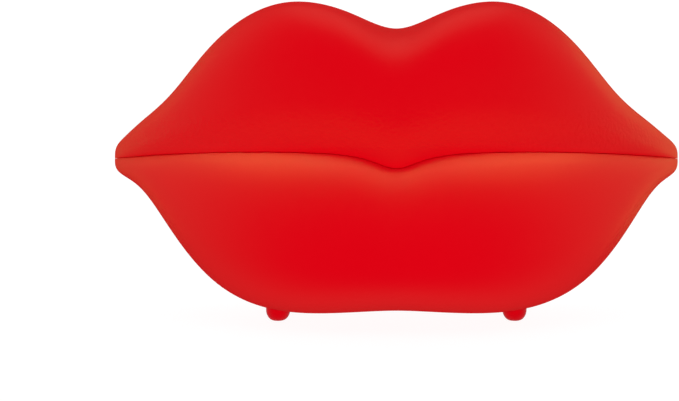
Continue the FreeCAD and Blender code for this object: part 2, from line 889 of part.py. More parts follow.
SWITCH_FACE = f"({BASE_BOARD_BACK} - knob_gap)"
for node, (x, travel) in SWITCHES.items():
    switch = new_body(f"{node}_switch")
    plate(switch, "switch_length", "switch_height", "switch_width")
    recess(
        switch,
        f"knob_length + {travel} + 2*knob_gap",
        "knob_height + 2*knob_gap",
        "slot_depth",
        z="switch_width",
    )
    subpart(
        switch.Name,
        backward(switch, x, f"{SWITCH_FACE} - switch_width", f"{BASE_BOARD_TOP} + switch_height/2"),
    )
    knob = new_body(f"{node}_knob")
    reach = f"{BACK_FACE} - knob_recess - {SWITCH_FACE} + slot_depth - knob_gap"
    plate(knob, "knob_length", "knob_height", reach)
    subpart(
        knob.Name,
        backward(
            knob,
            f"{x} - {travel}/2",
            f"{SWITCH_FACE} - slot_depth + knob_gap",
            f"{BASE_BOARD_TOP} + switch_height/2",
        ),
    )

sounder = turned(
    "sounder",
    [
        ("sounder_port", "0"),
        ("sounder_radius", "0"),
        ("sounder_radius", "sounder_height"),
        ("sounder_port", "sounder_height"),
    ],
)
subpart("sounder", place(sounder, "sounder_x", "sounder_y", BASE_BOARD_TOP))

ballast = block(
    "BallastBlank",
    "ballast_length",
    "ballast_width",
    "ballast_height",
    "0",
    "ballast_y",
    "ballast_floor",
)
BALLAST_HOLE_UNDER = "ballast_floor - ballast_height/2"
ballast_holes = [
    cylinder(f"BallastHole{n}", PEG_HOLE, "2*ballast_height", x, "ballast_y", BALLAST_HOLE_UNDER)
    for n, x in enumerate(RIBS)
]
subpart("ballast_weight", cut("Ballast", ballast, ballast_holes))

# Hook plunger, shown held down by the handset. Its collar stops it under the guide tube when it
# rises, and its stem stands on the free end of the upper contact spring.
LEAF_TOP = "(leaf_height + leaf_thickness)"
COLLAR_TOP = f"({GUIDE_END} - hook_stroke)"
plunger = turned(
    "hook_plunger",
    [
        ("0", "0"),
        ("stem_radius", "0"),
        ("stem_radius", f"{COLLAR_TOP} - collar_thickness - {LEAF_TOP}"),
        ("collar_radius", f"{COLLAR_TOP} - collar_thickness - {LEAF_TOP}"),
        ("collar_radius", f"{COLLAR_TOP} - {LEAF_TOP}"),
        ("plunger_radius", f"{COLLAR_TOP} - {LEAF_TOP}"),
        ("plunger_radius", f"{PLATE_UNDER} - key_bevel - {LEAF_TOP}"),
        ("plunger_radius - key_bevel", f"{PLATE_UNDER} - {LEAF_TOP}"),
        ("0", f"{PLATE_UNDER} - {LEAF_TOP}"),
    ],
)
subpart("hook_plunger", place(plunger, "hook_x", "hook_y", LEAF_TOP))

# Contact springs: two strips held in a moulded block that stands on the board
LEAF_ROOT = "(hook_x + leaf_reach)"
LOW_LEAF = "(leaf_height - leaf_gap - leaf_thickness)"
for node, under in (("hook_leaf", "leaf_height"), ("hook_contact", LOW_LEAF)):
    strip = block(
        f"{node}_strip",
        "leaf_reach + leaf_width/2 + block_length",
        "leaf_width",
        "leaf_thickness",
        "hook_x + leaf_reach/2 - leaf_width/4 + block_length/2",
        "hook_y",
        under,
    )
    subpart(node, strip)
BLOCK_X = f"({LEAF_ROOT} + block_length/2)"
block_blank = block(
    "BlockBlank",
    "block_length",
    "block_width",
    f"{LEAF_TOP} + block_cap - {BASE_BOARD_TOP}",
    BLOCK_X,
    "hook_y",
    BASE_BOARD_TOP,
)
block_slots = [
    block(f"BlockSlot{n}", "2*block_length", "leaf_width", "leaf_thickness", BLOCK_X, "hook_y", under)
    for n, under in enumerate(("leaf_height", LOW_LEAF))
]
subpart("hook_block", cut("HookBlock", block_blank, block_slots))


# Upper lip: the handset shell, with screw posts under its crown and a shelf for its cord socket.

upper_lip = feature(
    "UpperLip",
    lip_form(UPPER, 0, OUTER_SECTIONS, OUTER_CHORDS).cut(mouth_block(mm("mouth_gap") / 2, 0)),
)
handset_hollow = cut(
    "HandsetHollow",
    feature("HandsetInside", lip_form(UPPER, mm("handset_wall"), INNER_SECTIONS, INNER_CHORDS)),
    [block("BelowLedge", "2*lips_width", "2*lips_width", f"{PLATE_TOP} + ledge_thickness", "0", "0", "0")],
)
handset_throat = prism(
    "HandsetThroat",
    opening(mm("handset_wall + ledge_width")),
    mm(PLATE_TOP),
    mm(f"{PLATE_TOP} + 2*ledge_thickness"),
)
plate_well = prism("PlateWell", opening(mm("handset_wall")), 0, mm(PLATE_TOP))
handset_bowl = cut("HandsetBowl", upper_lip, [handset_hollow, handset_throat, plate_well])
crown_posts = [
    cylinder(f"CrownPost{n}", "pillar_radius", f"{TALL} - {PLATE_TOP}", x, y, PLATE_TOP)
    for n, (x, y) in enumerate(PLATE_SCREWS)
]
HANDSET_JACK_UNDER = f"({PLATE_TOP} + handset_jack_lift)"
HANDSET_JACK_WIDTH = "(cord_plug_width + 2*jack_wall)"
SHELF_WIDTH = f"({HANDSET_JACK_WIDTH} + 2*fit_gap + 2*shelf_thickness)"
SHELF_Y = f"({BACK_FACE} - jack_depth/2 - jack_recess)"
shelf = block(
    "JackShelf",
    SHELF_WIDTH,
    "jack_depth",
    "shelf_thickness + shelf_lip",
    "handset_jack_x",
    SHELF_Y,
    f"{HANDSET_JACK_UNDER} - shelf_thickness",
)
inner_posts = common("CrownPosts", fuse("CrownPillars", crown_posts + [shelf]), upper_lip)
handset_solid = fuse("HandsetSolid", [handset_bowl, inner_posts])
handset_holes = [
    cylinder(f"CrownPilot{n}", "screw_shank + thread_gap", "screw_length", x, y, PLATE_TOP)
    for n, (x, y) in enumerate(PLATE_SCREWS)
]
handset_holes.append(
    block(
        "JackBay",
        f"{HANDSET_JACK_WIDTH} + 2*fit_gap",
        "2*(jack_depth + jack_recess)",
        "jack_height + jack_gap",
        "handset_jack_x",
        BACK_FACE,
        HANDSET_JACK_UNDER,
    )
)
subpart("handset_shell", cut("HandsetShell", handset_solid, handset_holes))
jack("handset_cord_jack", "cord_plug_width", "handset_jack_x", HANDSET_JACK_UNDER)

# Faceplate: closes the handset from below. The cups for the earpiece and mouthpiece hang from it,
# the keys pass through it, and the key board stands on its posts.
face = prism("Face", opening(mm("handset_wall + fit_gap")), mm(PLATE_UNDER), mm(PLATE_TOP))
face_parts = [face]
for side, x in CUPS.items():
    cup = turned(
        f"Cup_{side}",
        [
            ("0", "0"),
            ("cup_radius - cup_bevel", "0"),
            ("cup_radius", "cup_bevel"),
            ("cup_radius", f"{PLATE_TOP} - {CUP_END}"),
            ("0", f"{PLATE_TOP} - {CUP_END}"),
        ],
    )
    face_parts.append(place(cup, x, "cup_y", CUP_END))

ROWS = range(-2, 3)
COLUMNS = range(-1, 2)
KEY_POSTS = [
    (f"{side}*(2*row_pitch + key_length/2 + flange_width + key_board_margin + post_radius)",
     f"keypad_y + {end}*(column_pitch + key_width/2)")
    for end in (-1, 1)
    for side in (-1, 1)
]
for n, (x, y) in enumerate(KEY_POSTS):
    tall = f"{KEY_BOARD_UNDER} - {PLATE_UNDER}"
    face_parts.append(cylinder(f"KeyPost{n}", "post_radius", tall, x, y, PLATE_UNDER))
    face_parts.append(
        cylinder(f"KeyPeg{n}", "peg_radius", "board_thickness + peg_head", x, y, KEY_BOARD_UNDER)
    )

POCKET_FLOOR = f"({CUP_END} + cup_floor)"
POCKET_DEPTH = f"({PLATE_TOP} - {POCKET_FLOOR})"
face_holes = [
    cylinder("EarPocket", "receiver_radius + fit_gap", POCKET_DEPTH, CUPS["left"], "cup_y", POCKET_FLOOR),
]
mouth_moat = cut(
    "MouthMoat",
    cylinder("MoatOuter", "receiver_radius + fit_gap", POCKET_DEPTH, CUPS["right"], "cup_y", POCKET_FLOOR),
    [
        cylinder(
            "MoatInner",
            "boot_radius + fit_gap + socket_wall",
            POCKET_DEPTH,
            CUPS["right"],
            "cup_y",
            POCKET_FLOOR,
        )
    ],
)
face_holes.append(mouth_moat)
face_holes.append(
    cylinder("BootPocket", "boot_radius + fit_gap", POCKET_DEPTH, CUPS["right"], "cup_y", POCKET_FLOOR)
)
for side, name, rings in (("left", "EarHole", 2), ("right", "MouthHole", 1)):
    face_holes += rosette(
        name, "grille_hole", "cup_floor", "grille_spacing", rings, CUPS[side], "cup_y", CUP_END
    )
for n, (x, y) in enumerate(PLATE_SCREWS):
    for name, radius, depth in (
        ("Head", "screw_head", "screw_head_height"),
        ("Shank", "screw_shank", "plate_thickness"),
    ):
        face_holes.append(cylinder(f"Plate{name}{n}", f"{radius} + screw_gap", depth, x, y, PLATE_UNDER))
for row in ROWS:
    for column in COLUMNS:
        face_holes.append(
            block(
                f"KeyWay_{row + 2}_{column + 1}",
                "key_length + 2*key_gap",
                "key_width + 2*key_gap",
                "plate_thickness",
                f"({row})*row_pitch",
                f"keypad_y + ({column})*column_pitch",
                PLATE_UNDER,
            )
        )
subpart("handset_faceplate", cut("Faceplate", fuse("FaceSolid", face_parts), face_holes))
screws("handset_screws", PLATE_SCREWS, PLATE_UNDER)

# Keys: caps with a flange behind the faceplate, read with the earpiece end up
LEGENDS = {
    -2: ("3", "2", "1"),
    -1: ("6", "5", "4"),
    0: ("9", "8", "7"),
    1: ("hash", "0", "star"),
    2: ("redial", "flash", "mute"),
}
for row, names in LEGENDS.items():
    for column, name in zip(COLUMNS, names):
        key = new_body(f"key_{name}")
        cap = plate(key, "key_length", "key_width", "key_proud + plate_thickness", z="-1*key_proud")
        cornered = chamfer(key, cap, "key_corner", lambda edge: edge.BoundBox.ZLength > 0.001)
        chamfer(key, cornered, "key_bevel", lambda edge: edge.BoundBox.ZMax < 0.001 - mm("key_proud"))
        flange = plate(
            key,
            "key_length + 2*flange_width",
            "key_width + 2*flange_width",
            "flange_thickness",
            z="plate_thickness",
        )
        key.Tip = flange
        y = f"keypad_y + ({column})*column_pitch"
        subpart(key.Name, place(key, f"({row})*row_pitch", y, PLATE_UNDER))

# Rubber key mat: a sheet with a dome over each key
sheet_length = "4*row_pitch + key_length + 2*flange_width + 2*sheet_margin"
sheet_width = "2*column_pitch + key_width"
mat = [block("MatSheet", sheet_length, sheet_width, "sheet_thickness", "0", "keypad_y", SHEET_UNDER)]
for row in ROWS:
    for column in COLUMNS:
        dome = doc.addObject("Part::Prism", f"Dome_{row + 2}_{column + 1}")
        dome.Polygon = 8
        bind(dome, Circumradius="dome_radius", Height="dome_height + sheet_thickness/2")
        place(
            dome,
            f"({row})*row_pitch",
            f"keypad_y + ({column})*column_pitch",
            f"{PLATE_TOP} + flange_thickness",
        )
        mat.append(dome)
subpart("key_mat", fuse("KeyMat", mat))

key_board = block(
    "KeyBoardBlank",
    "4*row_pitch + key_length + 2*flange_width + 2*key_board_margin + 4*post_radius",
    "2*column_pitch + key_width + 2*post_radius",
    "board_thickness",
    "0",
    "keypad_y",
    KEY_BOARD_UNDER,
)
KEY_HOLE_UNDER = f"({KEY_BOARD_UNDER} - board_thickness/2)"
key_board_holes = [
    cylinder(f"KeyBoardHole{n}", PEG_HOLE, "2*board_thickness", x, y, KEY_HOLE_UNDER)
    for n, (x, y) in enumerate(KEY_POSTS)
]
subpart("key_board", cut("KeyBoard", key_board, key_board_holes))

# Earpiece: a foam ring and a receiver capsule with a stepped back
gasket = turned(
    "receiver_gasket",
    [
        ("receiver_radius - gasket_width", "0"),
        ("receiver_radius", "0"),
        ("receiver_radius", "gasket_thickness"),
        ("receiver_radius - gasket_width", "gasket_thickness"),
    ],
)
subpart("receiver_gasket", place(gasket, CUPS["left"], "cup_y", POCKET_FLOOR))
receiver = turned(
    "receiver",
    [
        ("0", "0"),
        ("receiver_radius", "0"),
        ("receiver_radius", "receiver_height - receiver_step"),
        ("receiver_radius - receiver_step", "receiver_height - receiver_step"),
        ("receiver_radius - receiver_step", "receiver_height"),
        ("0", "receiver_height"),
    ],
)
subpart("receiver", place(receiver, CUPS["left"], "cup_y", f"{POCKET_FLOOR} + gasket_thickness"))

# Mouthpiece: a microphone capsule in a rubber boot
boot = turned(
    "microphone_boot",
    [
        ("boot_radius - boot_wall", "0"),
        ("boot_radius", "0"),
        ("boot_radius", "boot_height"),
        ("boot_radius - boot_wall", "boot_height"),
    ],
)
subpart("microphone_boot", place(boot, CUPS["right"], "cup_y", POCKET_FLOOR))
capsule = turned(
    "microphone",
    [
        ("0", "0"),
        ("boot_radius - boot_wall", "0"),
        ("boot_radius - boot_wall", "capsule_height"),
        ("0", "capsule_height"),
    ],
)
subpart("microphone", place(capsule, CUPS["right"], "cup_y", POCKET_FLOOR))

doc.recompute()
faults = [thing.Name for thing in doc.Objects if {"Invalid", "Error"} & set(thing.State)]
for node, thing in subparts.items():
    if thing.Shape.isNull() or not thing.Shape.isValid():
        faults.append(node)
if faults:
    raise RuntimeError(f"faulty objects: {faults}")

os.makedirs("parts", exist_ok=True)
for node, thing in subparts.items():
    thing.Shape.exportStep(f"parts/{node}.step")
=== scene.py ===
import math

import bmesh
import bpy
import numpy as np
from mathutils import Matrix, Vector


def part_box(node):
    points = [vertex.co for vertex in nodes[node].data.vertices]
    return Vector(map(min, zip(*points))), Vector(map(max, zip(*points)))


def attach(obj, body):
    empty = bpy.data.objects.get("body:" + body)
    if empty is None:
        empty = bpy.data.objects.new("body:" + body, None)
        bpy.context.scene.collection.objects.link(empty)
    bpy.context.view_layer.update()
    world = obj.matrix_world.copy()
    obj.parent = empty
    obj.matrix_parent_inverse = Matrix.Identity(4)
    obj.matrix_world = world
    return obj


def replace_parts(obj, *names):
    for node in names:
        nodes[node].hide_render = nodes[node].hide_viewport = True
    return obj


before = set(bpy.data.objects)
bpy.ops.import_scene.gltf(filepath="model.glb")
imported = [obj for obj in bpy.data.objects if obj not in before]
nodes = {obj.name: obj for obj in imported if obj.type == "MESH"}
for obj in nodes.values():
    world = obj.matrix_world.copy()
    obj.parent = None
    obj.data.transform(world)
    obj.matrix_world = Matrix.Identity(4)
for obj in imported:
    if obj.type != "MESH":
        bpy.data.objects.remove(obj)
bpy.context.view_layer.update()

# Lower lip: the base of the telephone, a hollow shell moulded in red plastic with a satin skin.
# Its top edge follows the mouth line, the deck drops into its mouth and stands on a ledge, and
# the back wall has windows for the sockets and slots for the switches.
MM = 0.001
TINY = 1e-9
HALF_WIDTH = 120.0
CORNER_HEIGHT = 63.2
CORNER_SETBACK = 27.0
CORNER_RADIUS = 16.0
UPPER_REACH = 70.0
BACK_REACH = 21.0
BACK_POWER = 6
PLAN_ROUND = 0.35
MOUTH_ARCH = 4.9
MOUTH_DIP = 6.6
DIP_WIDTH = 11.2
MOUTH_RECESS = 5.5
MOUTH_GAP = 0.1
CLEFT_WIDTH = 13.0
LOWER_LIP = {
    "side": -1,
    # The outline: how far out from the middle, and how far from the height of the corners.
    "marks": (
        (0.0, 57.2),
        (43.5, 58.3),
        (73.5, 48.05),
        (88.0, 34.15),
        (103.0, 15.3),
        (113.0, 8.1),
        (120.0, 0.0),
    ),
    # Its shift sideways, half-way out.
    "lean": 1.35,
    # How far the face stands out from the corners, and how deep the hollow down its middle is.
    "reach": 77.0,
    "cleft": 2.5,
    # Shares of the height where the face is fullest and where the back turns upright.
    "full": 0.50,
    "wall_from": 0.40,
    # Share of the depth where the outline lies, and how much more of it in the middle.
    "edge": 0.30,
    "valley": 0.0,
    # How the face swells, how steeply it rolls under to the mouth and how square the back turns.
    "swell": 0.82,
    "roll": 1.4,
    "square": 0.86,
    # The wall, the heights of the ledge's two faces in the mouth, and the step inside the rim.
    "wall": 3.0,
    "seat": 58.5,
    "ledge": 56.5,
    "step_in": 1.3,
    "step_up": 1.0,
}


def station(x):
    """Place along the lips from -1 to 1: the angle whose sine is x over the half width."""
    return np.arcsin(np.clip(x / HALF_WIDTH, -1, 1)) * 2 / np.pi


def outline(lip, x):
    """A lip's height from the corners: a cubic spline over the stations of its marks, level in
    the middle and as steep at the corner as the corner's radius asks.

    The lean moves it sideways, most half-way out and not at all in the middle or at the corners.
    """
    spots, heights = np.array(lip["marks"]).T
    places = station(spots)
    steps = np.diff(places)
    rises = np.diff(heights) / steps
    count = len(places)
    matrix, sums = np.eye(count), np.zeros(count)
    inner = np.arange(1, count - 1)
    matrix[inner, inner - 1] = steps[1:]
    matrix[inner, inner] = 2 * (steps[:-1] + steps[1:])
    matrix[inner, inner + 1] = steps[:-1]
    sums[inner] = 3 * (steps[1:] * rises[:-1] + steps[:-1] * rises[1:])
    sums[-1] = -math.sqrt(CORNER_RADIUS * HALF_WIDTH) * math.pi / 2
    slopes = np.linalg.solve(matrix, sums)
    t = station(x)
    across, along = np.sin(t * np.pi / 2), np.cos(t * np.pi / 2)
    t = np.minimum(1, np.abs(t - lip["lean"] * 8 / (np.pi * HALF_WIDTH) * across**2 * along))
    k = np.clip(np.searchsorted(places, t, side="left") - 1, 0, count - 2)
    part = (t - places[k]) / steps[k]
    rest = 1 - part
    return (
        heights[k] * (1 + 2 * part) * rest**2
        + heights[k + 1] * (3 - 2 * part) * part**2
        + steps[k] * part * rest * (slopes[k] * rest - slopes[k + 1] * part)
    )


def mouth_line(x):
    """Height of the mouth: a low arch that falls with the cube of x, less a bell-shaped dip."""
    arch = MOUTH_ARCH * (1 - np.abs(x / HALF_WIDTH) ** 3)
    return CORNER_HEIGHT + arch - MOUTH_DIP / (1 + (x / DIP_WIDTH) ** 2)


def plan(x, reach):
    """How far forward a face stands: the cosine of the station's angle, for one part as it is and
    for the other squared, which draws the face out towards the corners."""
    along = np.cos(station(x) * np.pi / 2)
    return CORNER_SETBACK - reach * (PLAN_ROUND * along + (1 - PLAN_ROUND) * along**2)


def back_line(x):
    """How far back a lip stands: nearly straight, and rounded at the ends like a superellipse."""
    return CORNER_SETBACK + BACK_REACH * np.sqrt(np.maximum(0, 1 - (x / HALF_WIDTH) ** BACK_POWER))


def crease_line(x):
    """Where the lips meet in front: behind the upper lip's face, by a share of the depth there."""
    upper, back = plan(x, UPPER_REACH), back_line(x)
    return upper + MOUTH_RECESS * (back - upper) / (UPPER_REACH + BACK_REACH)


OPENING_END = 104.0
OPENING_ROUND = 8.0


def arc_radius(low, high, bulge):
    """Radius of the arc whose chord runs between two places and which stands out by the bulge."""
    half = (high - low) / 2
    return (half**2 + bulge**2) / (2 * bulge)


def opening_sides(x, inset):
    """Front and back of the mouth's opening at x, and how far along X it goes.

    The front is an arc along the crease, the back is straight and each end is an arc, all drawn in by
    the inset. Past the end both sides meet on the middle.
    """
    shoulder = OPENING_END - OPENING_ROUND
    near, rear, deep = crease_line(shoulder), back_line(shoulder), crease_line(0.0)
    front_radius = arc_radius(-shoulder, shoulder, near - deep)
    end_radius = arc_radius(near, rear, OPENING_ROUND)
    middle, end_x = (near + rear) / 2, OPENING_END - end_radius
    out = np.maximum(np.abs(x) - end_x, 0)
    at_end = np.abs(x) > shoulder - OPENING_ROUND
    span = np.where(at_end, np.sqrt(np.maximum(0, (end_radius - inset) ** 2 - out**2)), np.inf)
    bow = np.sqrt(np.maximum(0, (front_radius - inset) ** 2 - np.asarray(x) ** 2))
    front = np.maximum(deep + front_radius - bow, middle - span)
    back = np.minimum(rear - inset, middle + span)
    return np.minimum(front, middle), np.maximum(back, middle), end_x + end_radius - inset


ROLL_POINTS = 22
FACE_POINTS = 44
BACK_POINTS = 40
WALL_POINTS = 10


def share(part, whole):
    """One length over another, and nothing where the other is nothing."""
    nothing = np.abs(whole) < TINY
    return np.where(nothing, 0.0, part / np.where(nothing, 1.0, whole))


def cubic(w, first, lead, trail, last):
    """A cubic curve from the first place to the last, led out by the second and in by the third."""
    v = 1 - w
    return v**3 * first + 3 * w * v**2 * lead + 3 * w**2 * v * trail + w**3 * last


def section(lip, x, inset, limit):
    """Points of a lip's section from a height near its mouth round to the back at the same height.

    A quarter ellipse rolls under to the mouth, a quarter superellipse runs from the fullest point to
    the edge, a squarer curve turns down the back, and a straight wall follows. Everything is drawn
    in by the inset.
    """
    middle = 1 / (1 + (x / CLEFT_WIDTH) ** 2)
    front = plan(x, lip["reach"]) + lip["cleft"] * middle + inset
    back = back_line(x) - inset
    mouth = mouth_line(x)
    edge = CORNER_HEIGHT + lip["side"] * (outline(lip, x) - inset)
    rise = edge - mouth
    full = mouth + lip["full"] * rise
    wall = mouth + lip["wall_from"] * rise
    ridge = front + (lip["edge"] + lip["valley"] * middle) * (back - front)
    roll = lip["roll"] * lip["full"] * rise
    tuck = (crease_line(x) + inset - front) / (1 - math.sqrt(1 - 1 / lip["roll"] ** 2))
    turn = np.arcsin(np.clip(share(full - limit, roll), 0, 1))
    start = np.arcsin(np.clip(share(limit - full, edge - full), 0, 1) ** (1 / lip["swell"]))
    columns = (front, back, edge, full, wall, ridge, roll, tuck, turn, start, limit)
    front, back, edge, full, wall, ridge, roll, tuck, turn, start, limit = (c[:, None] for c in columns)

    angle = turn * np.linspace(1, 0, ROLL_POINTS)
    roll_y = front + tuck * (1 - np.cos(angle))
    roll_z = full - roll * np.sin(angle)
    angle = start + (np.pi / 2 - start) * np.linspace(0, 1, FACE_POINTS)[1:]
    face_y = ridge - (ridge - front) * np.maximum(0, np.cos(angle)) ** lip["swell"]
    face_z = full + (edge - full) * np.sin(angle) ** lip["swell"]
    w = np.linspace(0, 1, BACK_POINTS)[1:]
    back_y = cubic(w, ridge, ridge + lip["square"] * (back - ridge), back, back)
    back_z = cubic(w, edge, edge, wall + lip["square"] * (edge - wall), wall)
    up = np.linspace(0, 1, WALL_POINTS)[1:]
    wall_y = back + 0 * up
    wall_z = wall + (limit - wall) * up
    return (
        np.concatenate([roll_y, face_y, back_y, wall_y], axis=1),
        np.concatenate([roll_z, face_z, back_z, wall_z], axis=1),
    )


ARC_POINTS = 7
ARC_TAKES = 3


def rounded(y, z, size):
    """Turns the sharp edges at both ends of a section into small arcs on to the flats inside them.

    Each arc is a quadratic curve led by the sharp edge, and takes the place of a few points.
    """
    s = np.linspace(0, 1, ARC_POINTS)

    def arc(corner, inside, flat):
        reach = np.hypot(*(inside - corner))
        begin = corner + (inside - corner) * np.clip(size / np.maximum(reach, TINY), 0, 1)
        begin, corner, flat = begin[..., None], corner[..., None], flat[..., None]
        return begin * (1 - s) ** 2 + 2 * corner * s * (1 - s) + flat * s**2

    places = np.stack([y, z])
    first, last = places[:, :, 0], places[:, :, -1]
    along = np.stack([size, 0 * size])
    front = arc(first, places[:, :, ARC_TAKES], first + along)
    back = arc(last, places[:, :, -ARC_TAKES], last - along)
    return np.concatenate([front[..., ::-1], places[:, :, ARC_TAKES:-ARC_TAKES], back], axis=-1)


WELD_REACH = 1e-7


def weld(mesh):
    """Makes coincident points one, takes out edges with no length and turns all faces outwards."""
    work = bmesh.new()
    work.from_mesh(mesh)
    bmesh.ops.remove_doubles(work, verts=work.verts, dist=WELD_REACH)
    bmesh.ops.dissolve_degenerate(work, edges=work.edges, dist=WELD_REACH)
    bmesh.ops.recalc_face_normals(work, faces=work.faces)
    work.to_mesh(mesh)
    work.free()


def grid_mesh(name, points, closed_rows=False, closed_columns=False):
    """A mesh of four-sided faces over a grid of points, joined up to itself where it is closed."""
    rows, columns = points.shape[:2]
    index = np.arange(rows * columns).reshape(rows, columns)
    if closed_rows:
        index = np.vstack([index, index[:1]])
    if closed_columns:
        index = np.hstack([index, index[:, :1]])
    faces = np.stack([index[:-1, :-1], index[1:, :-1], index[1:, 1:], index[:-1, 1:]], axis=-1)
    mesh = bpy.data.meshes.new(name)
    mesh.from_pydata(points.reshape(-1, 3).tolist(), [], faces.reshape(-1, 4).tolist())
    weld(mesh)
    return mesh


LEDGE_WIDTH = 1.5
HOLLOW_END = 95.0
EDGE_ROUND = 0.3
EDGE_SHARE = 0.3
STEP_SHARE = 0.6
ROWS = 181
DIP_REACH = 16.0
DIP_ROWS = 61
DIP_CLEAR = 0.2
TIP_RUN = 26.0
TIP_ROWS = 22


def shell_rows(tips):
    """Places along X of a shell's rows, and which of them is the outer of two at the same place.

    The rows stand at even stations, closer over the dip, close up towards the tips of the mouth's
    opening, and one stands at each end of the hollow. At a tip there are two, the last one inside it
    and the first one past it.
    """
    even = HALF_WIDTH * np.sin(np.linspace(-1, 1, ROWS) * np.pi / 2)
    runs = [even[np.abs(even) > DIP_REACH + DIP_CLEAR], np.linspace(-DIP_REACH, DIP_REACH, DIP_ROWS)]
    for tip in tips:
        run = tip - TIP_RUN * (1 - np.cos(np.linspace(0, 1, TIP_ROWS) * np.pi / 2))
        runs += [run, -run]
    ends = np.array([*tips, HOLLOW_END])
    x = np.sort(np.concatenate([np.unique(np.concatenate(runs)), ends, -ends]))
    same = np.diff(x) < TINY
    return x, np.where(x > 0, np.append(False, same), np.append(same, False))


def shell_mesh(name, lip):
    """A hollow lip: its section carried along X, with the mouth's well, the ledge and the inside.

    Each row is one closed section. It goes round the outside, over the rim into the well, down to
    the ledge, round the inside and back up. Where the well or the hollow has ended, those points
    lie together, and at each corner of the mouth the last row closes on a point. Where the wall runs
    thin there, the gap, the step and the rounding of the rim keep to a share of it.
    """
    well_inset, throat_inset = lip["wall"], lip["wall"] + LEDGE_WIDTH
    well_end, throat_end = (opening_sides(0.0, inset)[2] for inset in (well_inset, throat_inset))
    x, past = shell_rows((well_end, throat_end))

    def within(end):
        return (np.abs(x) < end) | ((np.abs(x) == end) & ~past)

    thick = np.maximum(0, outline(lip, x) - lip["side"] * (mouth_line(x) - CORNER_HEIGHT))
    rim = mouth_line(x) + lip["side"] * np.minimum(MOUTH_GAP / 2, EDGE_SHARE * thick)
    y, z = section(lip, x, 0.0, rim)
    front_y, back_y = (np.clip(side, y[:, 0], y[:, -1]) for side in opening_sides(x, well_inset)[:2])
    throat_front, throat_back, _ = opening_sides(x, throat_inset)
    middle = (front_y + back_y) / 2
    room = np.minimum(np.abs(front_y - y[:, 0]), np.abs(y[:, -1] - back_y))
    step_in = np.minimum(lip["step_in"], STEP_SHARE * room)
    step_front, step_back = y[:, 0] + step_in, y[:, -1] - step_in
    step_rim = rim + np.minimum(lip["step_up"] * np.minimum(1, room / lip["wall"]), EDGE_SHARE * thick)
    y, z = rounded(y, z, np.minimum(EDGE_ROUND, EDGE_SHARE * room))

    well, throat, hollow = within(well_end), within(throat_end), within(HOLLOW_END)
    seat = np.where(well, lip["seat"], step_rim)
    ledge = np.where(throat, lip["ledge"], seat)
    throat_front = np.where(throat, throat_front, middle)
    throat_back = np.where(throat, throat_back, middle)

    inner_y, inner_z = section(lip, x, lip["wall"], np.full_like(x, lip["ledge"]))
    flat = np.linspace(0, 1, inner_y.shape[1])
    floor_y = throat_front[:, None] + (throat_back - throat_front)[:, None] * flat
    inner_y = np.where(hollow[:, None], inner_y, floor_y)
    inner_z = np.where(hollow[:, None], inner_z, ledge[:, None])

    ring = (
        (y, z),
        (step_back, rim),
        (step_back, step_rim),
        (back_y, step_rim),
        (back_y, seat),
        (throat_back, seat),
        (throat_back, ledge),
        (inner_y[:, ::-1], inner_z[:, ::-1]),
        (throat_front, ledge),
        (throat_front, seat),
        (front_y, seat),
        (front_y, step_rim),
        (step_front, step_rim),
        (step_front, rim),
    )
    ring_y, ring_z = (np.hstack([part.reshape(len(x), -1) for part in parts]) for parts in zip(*ring))
    points = np.stack([np.broadcast_to(x[:, None], ring_y.shape), ring_y, ring_z], axis=-1)
    points[[0, -1]] = points[[0, -1]].mean(axis=1, keepdims=True)
    return grid_mesh(name, points * MM, closed_columns=True)


SHARP = 35.0
LIP_SHARP = 50.0


def piece(name, mesh, material, body, sharp=SHARP):
    """A finished piece: its mesh with smooth faces and sharp edges, its material and its body."""
    made = bpy.data.objects.new(name, mesh)
    bpy.context.scene.collection.objects.link(made)
    mesh.polygons.foreach_set("use_smooth", np.ones(len(mesh.polygons), bool))
    mesh.set_sharp_from_angle(angle=math.radians(sharp))
    mesh.materials.clear()
    mesh.materials.append(material)
    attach(made, body)
    return made


